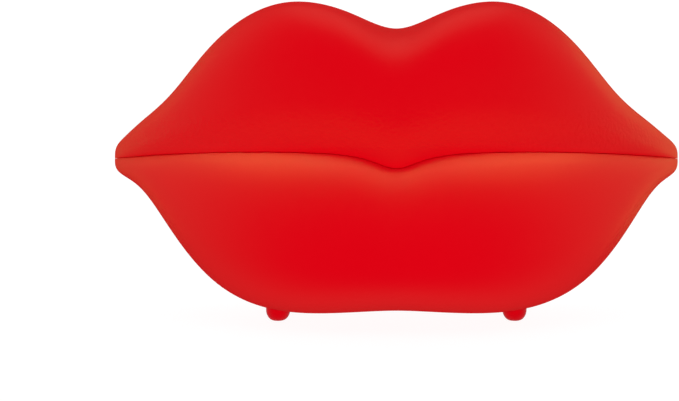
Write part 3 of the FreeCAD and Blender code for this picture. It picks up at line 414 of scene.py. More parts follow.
class Value:
    """A shader socket. Arithmetic on it adds Math nodes, and node() adds any other kind of node."""

    def __init__(self, tree, socket=None):
        self.tree = tree
        self.socket = socket

    def node(self, kind, settings=None, inputs=None, output=0):
        """One output of a new node, whose settings are made before its sockets are filled or linked."""
        made = self.tree.nodes.new(f"ShaderNode{kind}")
        for name, setting in (settings or {}).items():
            setattr(made, name, setting)
        for name, value in (inputs or {}).items():
            if isinstance(value, Value):
                self.tree.links.new(value.socket, made.inputs[name])
            else:
                made.inputs[name].default_value = value
        return Value(self.tree, made.outputs[output])

    def maths(self, operation, *values):
        """The result of one operation on numbers or values."""
        return self.node("Math", {"operation": operation}, dict(enumerate(values)))

    def __add__(self, other):
        return self.maths("ADD", self, other)

    def __radd__(self, other):
        return self.maths("ADD", other, self)

    def __sub__(self, other):
        return self.maths("SUBTRACT", self, other)

    def __rsub__(self, other):
        return self.maths("SUBTRACT", other, self)

    def __mul__(self, other):
        return self.maths("MULTIPLY", self, other)

    def __rmul__(self, other):
        return self.maths("MULTIPLY", other, self)

    def above(self, limit):
        """One where the value is over a limit, and nothing elsewhere."""
        return self.maths("GREATER_THAN", self, limit)

    def along(self, axis):
        """One of a place's three coordinates."""
        return self.node("SeparateXYZ", {}, {"Vector": self}, output=axis)

    def rising(self, low, high, least=0.0):
        """A smooth rise from the least to one, as the value goes from one mark to the other."""
        marks = {"From Min": low, "From Max": high, "To Min": least, "To Max": 1.0}
        return self.node("MapRange", {"interpolation_type": "SMOOTHSTEP"}, {"Value": self, **marks})

    def noise(self, scale, detail=2.0):
        """Cloudy noise with about so many waves to the metre."""
        return self.node("TexNoise", {}, {"Vector": self, "Scale": scale, "Detail": detail})

    def blend(self, share, first, second):
        """A colour between two others, by a share. A Mix node has its colours in sockets 6 and 7."""
        inputs = {"Factor": share, 6: first, 7: second}
        return self.node("Mix", {"data_type": "RGBA"}, inputs, output=2)

    def bump(self, strength, distance):
        """Normals of a relief whose height is the value times a distance in metres."""
        return self.node("Bump", {}, {"Height": self, "Strength": strength, "Distance": distance})


def finish(name, paint):
    """A material whose shader is painted from the piece's own coordinates."""
    made = bpy.data.materials.new(name)
    made.use_nodes = True
    tree = made.node_tree
    tree.nodes.clear()
    place = Value(tree).node("TexCoord", output="Object")
    shader = paint(place)
    output = tree.nodes.new("ShaderNodeOutputMaterial")
    tree.links.new(shader.socket, output.inputs["Surface"])
    return made


LIP_RED = (0.80, 0.0, 0.0070, 1.0)
LIP_RED_DEEP = (0.755, 0.0, 0.0062, 1.0)
LIP_ROUGHNESS = 0.38
LIP_SHINE = (1.0, 0.92, 0.64, 1.0)
SHINE_SHARE = 0.022
ROLL_FOOT = (0.0665, 0.0700)
ROLL_HEAD = (0.0900, 0.0760)
PLAIN_PEEL = 0.08
SKIN_DEPTH = 0.0003


def paint_lip(place):
    """Red plastic with a satin skin: slow drifts of colour, a cloudy gloss and a fine peel, which is
    deeper along the roll of the upper lip above the mouth. The skin's shine is weak but even."""
    drift = place.noise(16.0)
    cloud = place.noise(330.0, 3.0)
    peel = place.noise(750.0)
    height = place.along("Z")
    roll = height.rising(*ROLL_FOOT) * height.rising(*ROLL_HEAD)
    skin = {
        "Roughness": LIP_ROUGHNESS + 0.12 * (cloud - 0.5) + 0.06 * (drift - 0.5),
        "Normal": (peel * (PLAIN_PEEL + (1 - PLAIN_PEEL) * roll)).bump(0.7, SKIN_DEPTH),
    }
    colour = place.blend(drift, LIP_RED_DEEP, LIP_RED)
    body = place.node("BsdfPrincipled", {}, {"Base Color": colour, "Specular IOR Level": 0.0, **skin})
    shine = place.node("BsdfAnisotropic", {}, {"Color": LIP_SHINE, **skin})
    return place.node("MixShader", {}, {0: SHINE_SHARE, 1: body, 2: shine})


lip_plastic = finish("lip_plastic", paint_lip)


def block(low, high):
    """Points of a block between two corners: a square carried from one end to the other and closed."""
    low, high = np.array(low), np.array(high)
    square = np.array([(0, 0), (1, 0), (1, 1), (0, 1)]) - 0.5
    size = np.array([0.0, 1.0, 1.0, 0.0])[:, None, None]
    level = np.array([0.0, 0.0, 1.0, 1.0])[:, None, None]
    points = np.concatenate([0.5 + size * square, np.broadcast_to(level, (4, 4, 1))], axis=-1)
    return low + points * (high - low)


def lathe(profile, x, y, turns=48):
    """Points of a profile of (radius, height) pairs turned about an upright axis."""
    radius, height = np.array(profile, float).T
    angle = np.linspace(0, 2 * np.pi, turns, endpoint=False)
    return np.stack(
        [
            x + radius[:, None] * np.cos(angle),
            y + radius[:, None] * np.sin(angle),
            np.broadcast_to(height[:, None], (len(radius), turns)),
        ],
        axis=-1,
    )


def joined(name, grids):
    """One mesh from several closed shapes."""
    work = bmesh.new()
    for points in grids:
        part = grid_mesh("part", points * MM, closed_columns=True)
        work.from_mesh(part)
        bpy.data.meshes.remove(part)
    mesh = bpy.data.meshes.new(name)
    work.to_mesh(mesh)
    work.free()
    return mesh


def pierce(shell, tools):
    """Cuts holes through a shell with closed tool shapes, and keeps the result as its mesh."""
    mesh = joined("holes", tools)
    cutter = bpy.data.objects.new("holes", mesh)
    bpy.context.scene.collection.objects.link(cutter)
    cut = shell.modifiers.new("holes", "BOOLEAN")
    cut.object = cutter
    cut.operation = "DIFFERENCE"
    cut.solver = "MANIFOLD"
    bpy.context.view_layer.update()
    seen = shell.evaluated_get(bpy.context.evaluated_depsgraph_get())
    whole = bpy.data.meshes.new_from_object(seen)
    shell.modifiers.clear()
    shell.data = whole
    bpy.data.objects.remove(cutter)
    bpy.data.meshes.remove(mesh)


CUT_FROM = 40.0
CUT_TO = CORNER_SETBACK + BACK_REACH + 4.0
SOCKET_GAP = 0.3


def box_of(node):
    """A node's lowest and highest corners in millimetres."""
    return np.array(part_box(node)) / MM


def window(node):
    """Points of a block round a node's outline seen from the back, right through the back wall."""
    low, high = box_of(node)
    low_x, _, low_z = low - SOCKET_GAP
    high_x, _, high_z = high + SOCKET_GAP
    return block((low_x, CUT_FROM, low_z), (high_x, CUT_TO, high_z))


CUT_UNDER = -1.0


def bore(radius, top, x, y, turns=48):
    """Points of a round hole from under the floor up to a height."""
    return lathe([(0, CUT_UNDER), (radius, CUT_UNDER), (radius, top), (0, top)], x, y, turns)


SLOT_HALF = 3.3
SLOT_LOW = 24.3
SLOT_HIGH = 27.9
SLOT_PLACES = (-34.0, 34.0)
DECK_SCREWS = [(x, y) for x in (-58.0, 58.0) for y in (-2.0, 33.0)]
HEAD_WAY = 3.0
HEAD_SEAT = 17.0
FOOT_RADIUS = 4.8
FOOT_SOCKET = 4.9
FOOT_SUNK = 0.4
FEET = {
    f"foot_{end}_{side}": (x, y, tall)
    for side, x in (("left", -47.0), ("right", 47.0))
    for end, y, tall in (("front", -10.0, 8.0), ("back", 28.0, 13.0))
}
SOUND_X, SOUND_Y = 30.0, 19.0
SOUND_RING = 4.2
SOUND_RADIUS = 1.0
SOUND_TOP = 14.0
SOUND_HOLES = [(SOUND_X, SOUND_Y)] + [
    (SOUND_X + SOUND_RING * math.cos(angle), SOUND_Y + SOUND_RING * math.sin(angle))
    for angle in (n * math.pi / 3 for n in range(6))
]
base_shell = piece(
    "lower_lip", shell_mesh("lower_lip", LOWER_LIP), lip_plastic, "base", LIP_SHARP
)
tools = [window(node) for node in ("line_jack", "base_cord_jack")]
tools += [
    block((x - SLOT_HALF, CUT_FROM, SLOT_LOW), (x + SLOT_HALF, CUT_TO, SLOT_HIGH)) for x in SLOT_PLACES
]
tools += [bore(HEAD_WAY, HEAD_SEAT, x, y) for x, y in DECK_SCREWS]
tools += [bore(FOOT_SOCKET, tall - FOOT_SUNK, x, y) for x, y, tall in FEET.values()]
tools += [bore(SOUND_RADIUS, SOUND_TOP, x, y, turns=20) for x, y in SOUND_HOLES]
pierce(base_shell, tools)
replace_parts(base_shell, "base_shell")

# Screw ways of the base: the tubes in the floor of the lower lip that the deck's screws go up. They
# are part of the same moulding, and each narrows to a seat for the screw's head.
WAY_RADIUS = 5.5
WAY_TOP = 21.0
SHANK_WAY = 1.7
IN_THE_WALL = 1.5


def floor_height(lip, x, y):
    """Height of a lip's underside at given places: the section at each x, read off at each y."""
    under = slice(ROLL_POINTS, ROLL_POINTS + FACE_POINTS + BACK_POINTS - 2)
    depth, height = (part[:, under] for part in section(lip, x, 0.0, mouth_line(x)))
    after = np.clip((depth < y[:, None]).sum(axis=1), 1, depth.shape[1] - 1)[:, None]
    y0, y1 = (np.take_along_axis(depth, after - n, 1)[:, 0] for n in (1, 0))
    z0, z1 = (np.take_along_axis(height, after - n, 1)[:, 0] for n in (1, 0))
    return z0 + (z1 - z0) * (y - y0) / (y1 - y0)


for n, (x, y) in enumerate(DECK_SCREWS):
    ring = [(HEAD_WAY, 0), (HEAD_WAY, HEAD_SEAT), (SHANK_WAY, HEAD_SEAT)]
    ring += [(SHANK_WAY, WAY_TOP), (WAY_RADIUS, WAY_TOP), (WAY_RADIUS, 0)]
    tube = lathe(ring, x, y)
    for end in (0, -1):
        tube[end, :, 2] = floor_height(LOWER_LIP, tube[end, :, 0], tube[end, :, 1]) + IN_THE_WALL
    tube = grid_mesh("way", tube * MM, closed_rows=True, closed_columns=True)
    piece(f"screw_way_{n}", tube, lip_plastic, "base")

# Feet: four round feet of red rubber, pushed into sockets in the floor of the lower lip, with the
# taller pair at the back, where the floor rises. Each ends in a dome with a small flat to stand on.
FOOT_FLAT = 1.5
DOME_HEIGHT = 4.4


def moulded(light, dark, rough, grain, gloss=0.3, sheen=0.0):
    """A painter of moulded plastic or rubber: two shades that drift, and a grain in gloss and skin."""

    def paint(place):
        drift = place.noise(40.0)
        skin = place.noise(grain, 3.0)
        return place.node(
            "BsdfPrincipled",
            {},
            {
                "Base Color": place.blend(drift, dark, light),
                "Roughness": rough + 0.16 * (skin - 0.5),
                "Specular IOR Level": gloss,
                "Sheen Weight": sheen,
                "Sheen Roughness": 0.3,
                "Normal": skin.bump(0.08, SKIN_DEPTH),
            },
        )

    return paint


FOOT_RED, FOOT_RED_DEEP = (0.70, 0.0, 0.006, 1), (0.62, 0.0, 0.005, 1)
foot_rubber = finish(
    "foot_rubber", moulded(FOOT_RED, FOOT_RED_DEEP, rough=0.5, grain=900.0, gloss=0.08, sheen=0.25)
)
turn = np.linspace(0, np.pi / 2, 14)
dome_radius = FOOT_FLAT + (FOOT_RADIUS - FOOT_FLAT) * np.sin(turn)
dome = np.stack([dome_radius, DOME_HEIGHT * (1 - np.cos(turn))], axis=-1)
for node, (x, y, tall) in FEET.items():
    profile = np.vstack([(0, 0), dome, (FOOT_RADIUS, tall), (0, tall)])
    foot = grid_mesh(node, lathe(profile, x, y) * MM, closed_columns=True)
    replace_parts(piece(f"{node}_dome", foot, foot_rubber, "base"), node)

# Deck: a satin red plate that closes the top of the base, with a dish under each end of the handset
# and a black rubber ring lying in each dish. Four pillars under it take the screws.


def dress(material, *names):
    """Gives a finish to nodes of the frame that are shown as they are."""
    for name in names:
        for place in nodes[name].material_slots:
            place.material = material


INNER_RED, INNER_RED_DEEP = (0.56, 0.001, 0.006, 1), (0.49, 0.0008, 0.005, 1)
inner_plastic = finish(
    "inner_plastic", moulded(INNER_RED, INNER_RED_DEEP, rough=0.45, grain=1400.0, sheen=0.1)
)
RUBBER_BLACK, RUBBER_BLACK_DEEP = (0.030, 0.030, 0.031, 1), (0.016, 0.016, 0.017, 1)
pad_rubber = finish("pad_rubber", moulded(RUBBER_BLACK, RUBBER_BLACK_DEEP, rough=0.7, grain=800.0))
dress(inner_plastic, "cradle_deck")
dress(pad_rubber, "cradle_pad_left", "cradle_pad_right")

# Deck screws: four steel screws, driven up from below through the ways in the floor into the deck's
# pillars. Each has a pan head with a cross pressed into it, and a rolled thread.
HEAD_RADIUS = 2.75
HEAD_DOME = 1.0
HEAD_DEPTH = 1.8
THREAD_CREST = 1.5
THREAD_ROOT = 1.25
THREAD_FROM = 3.0
THREAD_TO = 14.6
THREAD_STEP = 0.3
SCREW_LENGTH = 15.6
CROSS_ARM = (1.5, 0.3)
CROSS_DEPTH = 1.0
CROSS_CLEAR = 1.0
DECK_SCREW_LOW = 15.2


def metal(light, dark, rough, stretch):
    """A painter of metal: streaks or mottling in colour and gloss, and a few dull spots."""

    def paint(place):
        drawn = place.node("VectorMath", {"operation": "MULTIPLY"}, {0: place, 1: stretch})
        streak = drawn.noise(600.0, 4.0)
        spot = place.noise(160.0, 3.0)
        return place.node(
            "BsdfPrincipled",
            {},
            {
                "Base Color": place.blend(streak, dark, light),
                "Metallic": 1.0,
                "Roughness": rough + 0.2 * (streak - 0.5) + 0.15 * spot.above(0.62),
            },
        )

    return paint


STEEL_LIGHT, STEEL_DARK = (0.62, 0.61, 0.59, 1), (0.42, 0.42, 0.41, 1)
steel = finish("steel", metal(STEEL_LIGHT, STEEL_DARK, rough=0.28, stretch=(1.0, 1.0, 0.1)))


def screws(name, spots, low, body):
    """Screws that point up from a height: a domed head with a cross cut into it, and a shank with the
    ridges of its thread."""
    dome = np.linspace(0, np.pi / 2, 9)
    head = np.stack([HEAD_RADIUS * np.sin(dome), low + HEAD_DOME * (1 - np.cos(dome))], axis=-1)
    ridge = np.arange(low + THREAD_FROM, low + THREAD_TO, THREAD_STEP)
    thread = np.stack([np.where(np.arange(len(ridge)) % 2, THREAD_ROOT, THREAD_CREST), ridge], axis=-1)
    under, tip = low + HEAD_DEPTH, low + SCREW_LENGTH
    profile = np.vstack([head, (HEAD_RADIUS, under), (THREAD_CREST, under), thread, (0, tip)])
    mesh = joined(name, [lathe(profile, x, y, turns=32) for x, y in spots])
    made = piece(name, mesh, steel, body)
    for arm_x, arm_y in (CROSS_ARM, CROSS_ARM[::-1]):
        below, deep = low - CROSS_CLEAR, low + CROSS_DEPTH
        pierce(made, [block((x - arm_x, y - arm_y, below), (x + arm_x, y + arm_y, deep)) for x, y in spots])
    return made


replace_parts(screws("deck_screws", DECK_SCREWS, DECK_SCREW_LOW, "base"), "base_screws")

# Ballast: a block of cast iron, left rough as it came out of the sand. It is pegged to the floor of
# the base and keeps it from tipping.
IRON_LIGHT, IRON_DARK = (0.22, 0.21, 0.20, 1), (0.10, 0.095, 0.09, 1)
ballast_iron = finish("ballast_iron", metal(IRON_LIGHT, IRON_DARK, rough=0.55, stretch=(0.4, 0.4, 0.4)))
dress(ballast_iron, "ballast_weight")

# Base board: a green circuit board on four pegs. It carries the sockets, the switches, the sounder
# and the hook contacts.
MASK_GREEN = (0.014, 0.115, 0.042, 1)
MASK_GREEN_DEEP = (0.010, 0.085, 0.030, 1)
TRACK_GREEN = (0.035, 0.21, 0.075, 1)
SOLDER = (0.60, 0.58, 0.54, 1)


def paint_board(place):
    """Solder mask over copper: straight tracks show as lighter lines, with tinned dots among them."""
    track = place.node(
        "TexBrick",
        {"offset": 0.37},
        {"Vector": place, "Scale": 330.0, "Mortar Size": 0.018, "Brick Width": 1.7, "Row Height": 0.42},
        output="Fac",
    )
    dots = place.node("TexVoronoi", {}, {"Vector": place, "Scale": 420.0})
    pad = 1 - dots.above(0.16)
    weave = place.noise(900.0)
    mask = place.blend(weave, MASK_GREEN_DEEP, MASK_GREEN)
    traced = place.blend(0.7 * track, mask, TRACK_GREEN)
    return place.node(
        "BsdfPrincipled",
        {},
        {
            "Base Color": place.blend(pad, traced, SOLDER),
            "Metallic": pad,
            "Roughness": 0.36 + 0.12 * weave,
        },
    )


board = finish("board", paint_board)
PLASTIC_BLACK, PLASTIC_BLACK_DEEP = (0.030, 0.030, 0.032, 1), (0.018, 0.018, 0.019, 1)
black_plastic = finish(
    "black_plastic", moulded(PLASTIC_BLACK, PLASTIC_BLACK_DEEP, rough=0.42, grain=1100.0)
)
dress(board, "base_board")
dress(black_plastic, "sounder")

# Hook switch: an ivory plunger that the handset holds down, and two sprung contact leaves in a block
# on the board that it presses apart.
IVORY, IVORY_DEEP = (0.80, 0.77, 0.70, 1), (0.73, 0.70, 0.62, 1)
key_plastic = finish(
    "key_plastic", moulded(IVORY, IVORY_DEEP, rough=0.38, grain=1300.0, gloss=0.4, sheen=0.1)
)
GILT, GILT_DARK = (0.86, 0.62, 0.25, 1), (0.66, 0.43, 0.14, 1)
contact_metal = finish("contact_metal", metal(GILT, GILT_DARK, rough=0.24, stretch=(0.1, 1.0, 1.0)))
dress(key_plastic, "hook_plunger")
dress(black_plastic, "hook_block")
dress(contact_metal, "hook_leaf", "hook_contact")

# Sockets of the base: black modular sockets for the line cord and the handset cord, soldered to the
# board, each with four gilt spring wires slanting into it from the front edge.
WIRE_RADIUS = 0.2
WIRE_SPACING = 1.02
WIRE_UNDER_TOP = 3.0
WIRE_SETBACK = 1.6
WIRE_RUN = 8.2
WIRE_DROP = 3.2
WIRE_LIFT = 0.9


def wire(path, x, radius, sides=10):
    """Points of a round wire along a path of (y, z) places at one x, closed to a point at its ends."""
    path = np.array(path, float)
    along = np.gradient(path, axis=0)
    along /= np.linalg.norm(along, axis=1)[:, None]
    path = np.concatenate([path[:1], path, path[-1:]])
    along = np.concatenate([along[:1], along, along[-1:]])
    thick = np.full(len(path), radius)
    thick[[0, -1]] = 0
    angle = np.linspace(0, 2 * np.pi, sides, endpoint=False)
    cross = thick[:, None] * np.cos(angle)
    rise = thick[:, None] * np.sin(angle)
    return np.stack(
        [
            x + cross,
            path[:, 0, None] - along[:, 1, None] * rise,
            path[:, 1, None] + along[:, 0, None] * rise,
        ],
        axis=-1,
    )


def contacts(node, body):
    """Four spring wires in a socket: down from its front edge, slanting to the back and up a little."""
    low, high = box_of(node)
    middle = (low[0] + high[0]) / 2
    bend = np.linspace(0, 1, 12)
    depth = high[1] - WIRE_SETBACK - WIRE_RUN * bend
    height = high[2] - WIRE_UNDER_TOP - WIRE_DROP * bend**0.7 + WIRE_LIFT * bend**6
    path = np.stack([depth, height], axis=-1)
    grids = [wire(path, middle + WIRE_SPACING * n, WIRE_RADIUS) for n in (-1.5, -0.5, 0.5, 1.5)]
    return piece(f"{node}_wires", joined(node, grids), contact_metal, body)


dress(black_plastic, "line_jack", "base_cord_jack")
contacts("line_jack", "base")
contacts("base_cord_jack", "base")

# Slide switches: two small black switches on the board for the ringer and the dialling. Their knobs
# stand in slots in the back wall, and the end of each is ribbed for a fingernail.
KNOB_POWER = 6
KNOB_BEVEL = 0.25
KNOB_TIP = 0.8
RIBBED = 3.2
RIB_PITCH = 0.8
RIB_DEPTH = 0.13
RIB_RUN_IN = 0.4


def rounded_square(sides, power):
    """A square of half width one with rounded corners: a superellipse of the given power."""
    angle = np.linspace(0, 2 * np.pi, sides, endpoint=False)
    across, rise = np.cos(angle), np.sin(angle)
    reach = (np.abs(across) ** power + np.abs(rise) ** power) ** (-1 / power)
    return across * reach, rise * reach


def knob(node):
    """A square bar with rounded corners, carried along Y, whose last part is drawn in by waves."""
    low, high = box_of(node)
    centre, half = (low + high) / 2, (high - low) / 2
    start, end = low[1], high[1]
    y = np.concatenate([[start], np.linspace(start, end - KNOB_BEVEL, 50), [end, end]])
    wave = 0.5 - 0.5 * np.cos((y - end) * 2 * np.pi / RIB_PITCH)
    size = 1 - RIB_DEPTH * np.clip((y - end + RIBBED) / RIB_RUN_IN, 0, 1) * wave
    size[[0, -2, -1]] = 0, KNOB_TIP, 0
    across, rise = rounded_square(40, KNOB_POWER)
    across, rise = size[:, None] * across, size[:, None] * rise
    depth = np.broadcast_to(y[:, None], across.shape)
    points = np.stack([centre[0] + half[0] * across, depth, centre[2] + half[2] * rise], axis=-1)
    mesh = grid_mesh(node, points * MM, closed_columns=True)
    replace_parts(piece(f"{node}_ribbed", mesh, knob_plastic, node), node)


KNOB_GREY, KNOB_GREY_DEEP = (0.74, 0.74, 0.71, 1), (0.66, 0.66, 0.63, 1)
knob_plastic = finish("knob_plastic", moulded(KNOB_GREY, KNOB_GREY_DEEP, rough=0.45, grain=1500.0))
dress(black_plastic, "ringer_switch", "tone_switch")
knob("ringer_knob")
knob("tone_knob")

# Upper lip: the handset, the same kind of moulding turned over, with the bow of the lip for its
# crown. The faceplate closes it from below, and its cord socket opens at the back.
UPPER_LIP = {
    "side": 1,
    "marks": (
        (0.0, 52.2),
        (17.0, 57.5),
        (43.5, 61.8),
        (73.5, 44.7),
        (88.0, 28.95),
        (103.0, 17.0),
        (113.0, 9.9),
        (120.0, 0.0),
    ),
    "lean": -1.05,
    "reach": UPPER_REACH,
    "cleft": 0.0,
    "full": 0.36,
    "wall_from": 0.35,
    "edge": 0.21,
    "valley": 0.15,
    "swell": 0.74,
    "roll": 1.4,
    "square": 0.62,
    "wall": 2.5,
    "seat": 70.5,
    "ledge": 72.5,
    "step_in": 1.0,
    "step_up": 1.3,
}
handset_shell = piece(
    "upper_lip", shell_mesh("upper_lip", UPPER_LIP), lip_plastic, "handset", LIP_SHARP
)
pierce(handset_shell, [window("handset_cord_jack")])
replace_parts(handset_shell, "handset_shell")

# Cord socket of the handset: one more black socket with four gilt wires. It sits on a shelf behind
# the faceplate and opens through the back of the upper lip.
dress(black_plastic, "handset_cord_jack")
contacts("handset_cord_jack", "handset")

# Faceplate: the satin red plate that closes the handset from below, with a cup for the ear, a cup
# for the mouth, a grille in each and windows for the keys. Six screws hold it to the upper lip.
PLATE_SCREWS = [(s * x, y) for s in (-1, 1) for x, y in ((42.0, -17.0), (42.0, 36.0), (92.0, 33.0))]
PLATE_SCREW_LOW = 67.5
dress(inner_plastic, "handset_faceplate")
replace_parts(screws("plate_screws", PLATE_SCREWS, PLATE_SCREW_LOW, "handset"), "handset_screws")

# Earpiece and mouthpiece: a receiver capsule pressed on a foam ring behind the ear's grille, and a
# microphone in a rubber boot behind the mouth's.
CAPSULE_LIGHT, CAPSULE_DARK = (0.60, 0.60, 0.61, 1), (0.40, 0.40, 0.42, 1)
capsule_metal = finish(
    "capsule_metal", metal(CAPSULE_LIGHT, CAPSULE_DARK, rough=0.32, stretch=(1.0, 0.15, 1.0))
)
dress(capsule_metal, "receiver", "microphone")
dress(pad_rubber, "receiver_gasket", "microphone_boot")

# Keys: fifteen ivory caps moulded with a flange that stays behind the faceplate, printed in dark
# grey, over one rubber mat with a dome for each key and a board with the contacts.
KEY_HALF = np.array([4.2, 5.3])
KEY_SIDES = 72
KEY_POWER = 9.0
KEY_EDGE = 0.9
KEY_DISH = 0.18
FLANGE = 0.9
KEY_FACE, PLATE_TOP, FLANGE_TOP = 65.0, 70.5, 71.5
DIGIT_SIZE = 4.6
WORD_SIZE = 1.9
DIGIT_UP = 1.1
WORD_DOWN = 2.4
INK_HALF = 0.08
INK_SPREAD = 0.02
INK_MIDDLE = 0.12
FACE_TEXT = {
    "1": ("1", ""),
    "2": ("2", "ABC"),
    "3": ("3", "DEF"),
    "4": ("4", "GHI"),
    "5": ("5", "JKL"),
    "6": ("6", "MNO"),
    "7": ("7", "PQRS"),
    "8": ("8", "TUV"),
    "9": ("9", "WXYZ"),
    "star": ("*", ""),
    "0": ("0", "OPER"),
    "hash": ("#", ""),
    "mute": ("", "MUTE"),
    "flash": ("", "FLASH"),
    "redial": ("", "REDIAL"),
}


def key_mesh(name, x, y):
    """A key as a stack of rings: flange, sides, a rolled edge, and a face that is slightly dished.

    A ring is a rounded square stretched to the key's outline, drawn in by a length and then shrunk
    to a share, which is nothing where the stack closes.
    """
    across, along = rounded_square(KEY_SIDES, KEY_POWER)
    square = np.stack([across, along], axis=-1)
    rings = [(0, -FLANGE, FLANGE_TOP), (1, -FLANGE, FLANGE_TOP), (1, -FLANGE, PLATE_TOP), (1, 0, PLATE_TOP)]
    for angle in np.linspace(0, np.pi / 2, 7):
        rings.append((1, KEY_EDGE * (1 - np.cos(angle)), KEY_FACE + KEY_EDGE * (1 - np.sin(angle))))
    for kept in np.linspace(1, 0, 9)[1:]:
        rings.append((kept, KEY_EDGE, KEY_FACE + KEY_DISH * (1 - kept**2)))
    kept, draw_in, height = (column[:, None, None] for column in np.array(rings, float).T)
    flat = kept * square * (KEY_HALF - draw_in)
    points = np.concatenate([flat, np.broadcast_to(height, (len(rings), KEY_SIDES, 1))], axis=-1)
    return grid_mesh(name, (points + [x, y, 0]) * MM, closed_columns=True)


def print_mesh(name, words, size, x, y):
    """Words as a thin closed mesh on a key's face, read from below with the earpiece end up."""
    curve = bpy.data.curves.new(name, "FONT")
    curve.body = words
    curve.size = size
    curve.align_x, curve.align_y = "CENTER", "CENTER"
    curve.extrude = INK_HALF
    curve.offset = INK_SPREAD
    curve.resolution_u = 4
    holder = bpy.data.objects.new(name, curve)
    bpy.context.scene.collection.objects.link(holder)
    bpy.context.view_layer.update()
    mesh = bpy.data.meshes.new_from_object(holder.evaluated_get(bpy.context.evaluated_depsgraph_get()))
    bpy.data.objects.remove(holder)
    bpy.data.curves.remove(curve)
    spots = np.empty(3 * len(mesh.vertices))
    mesh.vertices.foreach_get("co", spots)
    across, up, out = spots.reshape(-1, 3).T
    placed = np.stack([x - up, y - across, KEY_FACE + INK_MIDDLE - out], axis=-1) * MM
    mesh.vertices.foreach_set("co", placed.ravel())
    weld(mesh)
    return mesh


INK, INK_DEEP = (0.050, 0.050, 0.055, 1), (0.028, 0.028, 0.030, 1)
legend_ink = finish("legend_ink", moulded(INK, INK_DEEP, rough=0.55, grain=1600.0))
for key, (digit, word) in FACE_TEXT.items():
    low, high = box_of(f"key_{key}")
    x, y = (low[:2] + high[:2]) / 2
    cap = piece(f"cap_{key}", key_mesh(f"cap_{key}", x, y), key_plastic, f"key_{key}")
    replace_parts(cap, f"key_{key}")
    both = bool(digit and word)
    if digit:
        mesh = print_mesh(f"digit_{key}", digit, DIGIT_SIZE, x - DIGIT_UP * both, y)
        piece(f"digit_{key}", mesh, legend_ink, f"key_{key}")
    if word:
        mesh = print_mesh(f"word_{key}", word, WORD_SIZE, x + WORD_DOWN * both, y)
        piece(f"word_{key}", mesh, legend_ink, f"key_{key}")
dress(pad_rubber, "key_mat")
dress(board, "key_board")

# Studio: white paper under the telephone, lit through so that it stays plain, and a sky that is bright
# behind the telephone and dark behind the camera. A soft light hangs overhead, a fill stands low in
# front, and broad yellowish lights give the lips their shine and nothing else.
FLOOR_REACH = 6.0
PAPER = (0.12, 0.12, 0.12, 1.0)
PAPER_DEEP = (0.10, 0.10, 0.10, 1.0)
BLACK = (0.0, 0.0, 0.0, 1.0)
WHITE = (1.0, 1.0, 1.0, 1.0)
floor_x, floor_y = np.meshgrid(*[np.linspace(-FLOOR_REACH, FLOOR_REACH, 13)] * 2, indexing="ij")
floor_points = np.stack([floor_x, floor_y, 0 * floor_x], axis=-1)
floor = bpy.data.objects.new("floor", grid_mesh("floor", floor_points))
bpy.context.scene.collection.objects.link(floor)


def paint_floor(place):
    """Matt white paper with a faint tooth, lit through, and open to view from below."""
    grain = place.noise(220.0)
    paper = place.node(
        "BsdfPrincipled",
        {},
        {
            "Base Color": place.blend(grain, PAPER_DEEP, PAPER),
            "Roughness": 0.9,
            "Specular IOR Level": 0.1,
            "Emission Color": WHITE,
            "Emission Strength": 0.94,
        },
    )
    under = place.node("NewGeometry", output="Backfacing")
    return place.node("MixShader", {}, {0: under, 1: paper, 2: place.node("BsdfTransparent")})


floor.data.materials.append(finish("studio_paper", paint_floor))
floor.visible_glossy = False
floor.visible_diffuse = False
floor.visible_shadow = False

world = bpy.data.worlds.new("studio")
bpy.context.scene.world = world
world.use_nodes = True
tree = world.node_tree
tree.nodes.clear()
heading = Value(tree).node("TexCoord", output="Generated")
behind = heading.along("Y").rising(-0.7, 0.1, least=0.03)
above_floor = heading.along("Z").rising(-0.3, 0.05, least=0.6)
below_top = heading.along("Z").rising(0.9, 0.35, least=0.7)
sky = heading.blend(behind * above_floor * below_top, BLACK, WHITE)
light = heading.node("Background", {}, {"Color": sky, "Strength": 1.06})
tree.links.new(light.socket, tree.nodes.new("ShaderNodeOutputWorld").inputs["Surface"])

MIDDLE = (0.0, 0.0, 0.06)
GLOSS_COLOUR = (0.70, 0.84, 0.37)


def soft_light(name, spot, aim, size, power):
    """A square soft light turned to face a point."""
    lamp = bpy.data.lights.new(name, "AREA")
    lamp.size = size
    lamp.energy = power
    made = bpy.data.objects.new(name, lamp)
    made.location = spot
    toward = np.array(aim) - np.array(spot)
    pitch = math.atan2(math.hypot(toward[0], toward[1]), -toward[2])
    made.rotation_euler = (pitch, 0.0, math.atan2(-toward[0], toward[1]))
    bpy.context.scene.collection.objects.link(made)
    return made


def gloss_light(name, lips, spot, aim, width, depth, power):
    """A broad yellowish light that only shows as a shine, and only on the lips it is meant for."""
    made = soft_light(name, spot, aim, width, power)
    made.data.shape = "RECTANGLE"
    made.data.size_y = depth
    made.data.color = GLOSS_COLOUR
    made.visible_diffuse = False
    made.visible_camera = False
    lit = bpy.data.collections.new(f"{name}_on")
    for lip in lips:
        lit.objects.link(lip)
    made.light_linking.receiver_collection = lit


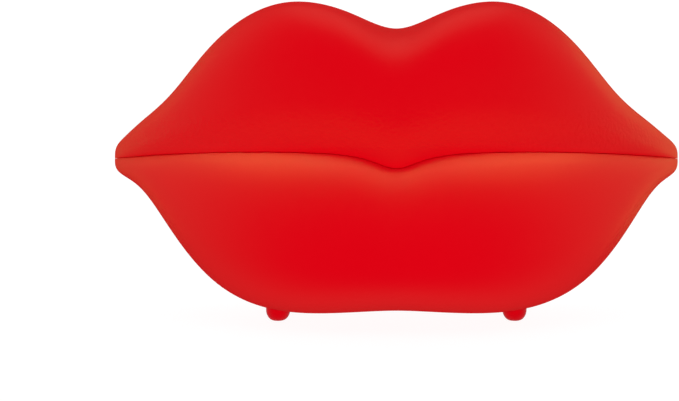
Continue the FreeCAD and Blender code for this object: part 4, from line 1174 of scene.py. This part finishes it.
soft_light("overhead", spot=(0.0, -0.15, 1.0), aim=MIDDLE, size=0.9, power=2.0)
gloss_light(
    "shelf_gloss",
    [base_shell],
    spot=(0.0, 0.32, 0.9),
    aim=(0.0, 0.32, 0.06),
    width=2.0,
    depth=1.3,
    power=78.0,
)
gloss_light(
    "roll_gloss",
    [handset_shell],
    spot=(0.12, -0.22, 0.004),
    aim=(0.12, -0.22, 0.06),
    width=0.9,
    depth=0.25,
    power=0.6,
)
for name, side, power in (("left_gloss", -1, 8.0), ("right_gloss", 1, 18.0)):
    gloss_light(
        name,
        [base_shell, handset_shell],
        spot=(1.1 * side, 0.8, 0.2),
        aim=(0.1 * side, 0.0, 0.06),
        width=1.2,
        depth=1.2,
        power=power,
    )
fill = soft_light("fill", spot=(0.0, -1.6, -0.2), aim=MIDDLE, size=1.2, power=24.0)
fill.visible_glossy = False
fill.data.cycles.use_multiple_importance_sampling = False

# Camera: level with the mouth and close to it, so that the ends of the lips turn away from it. The
# lens is shifted to set the telephone to the right of the middle and above it.
VIEW_WIDTH, VIEW_HEIGHT = 679, 401
SENSOR = 36.0
FOCAL_PIXELS = 1194.2
AIM = np.array([0.0, 0.027, 0.0625])
DISTANCE = 0.51
ELEVATION = math.radians(2.0)
CENTRE_PIXEL = (396.3, 160.0)
lens = bpy.data.cameras.new("camera")
lens.sensor_width = SENSOR
lens.lens = FOCAL_PIXELS * SENSOR / VIEW_WIDTH
lens.shift_x = (VIEW_WIDTH / 2 - CENTRE_PIXEL[0]) / VIEW_WIDTH
lens.shift_y = (CENTRE_PIXEL[1] - VIEW_HEIGHT / 2) / VIEW_WIDTH
lens.clip_start = 0.01
camera = bpy.data.objects.new("camera", lens)
camera.location = AIM + DISTANCE * np.array([0.0, -math.cos(ELEVATION), math.sin(ELEVATION)])
camera.rotation_euler = (math.pi / 2 - ELEVATION, 0.0, 0.0)
bpy.context.scene.collection.objects.link(camera)
bpy.context.scene.camera = camera
bpy.context.scene.view_settings.view_transform = "Standard"
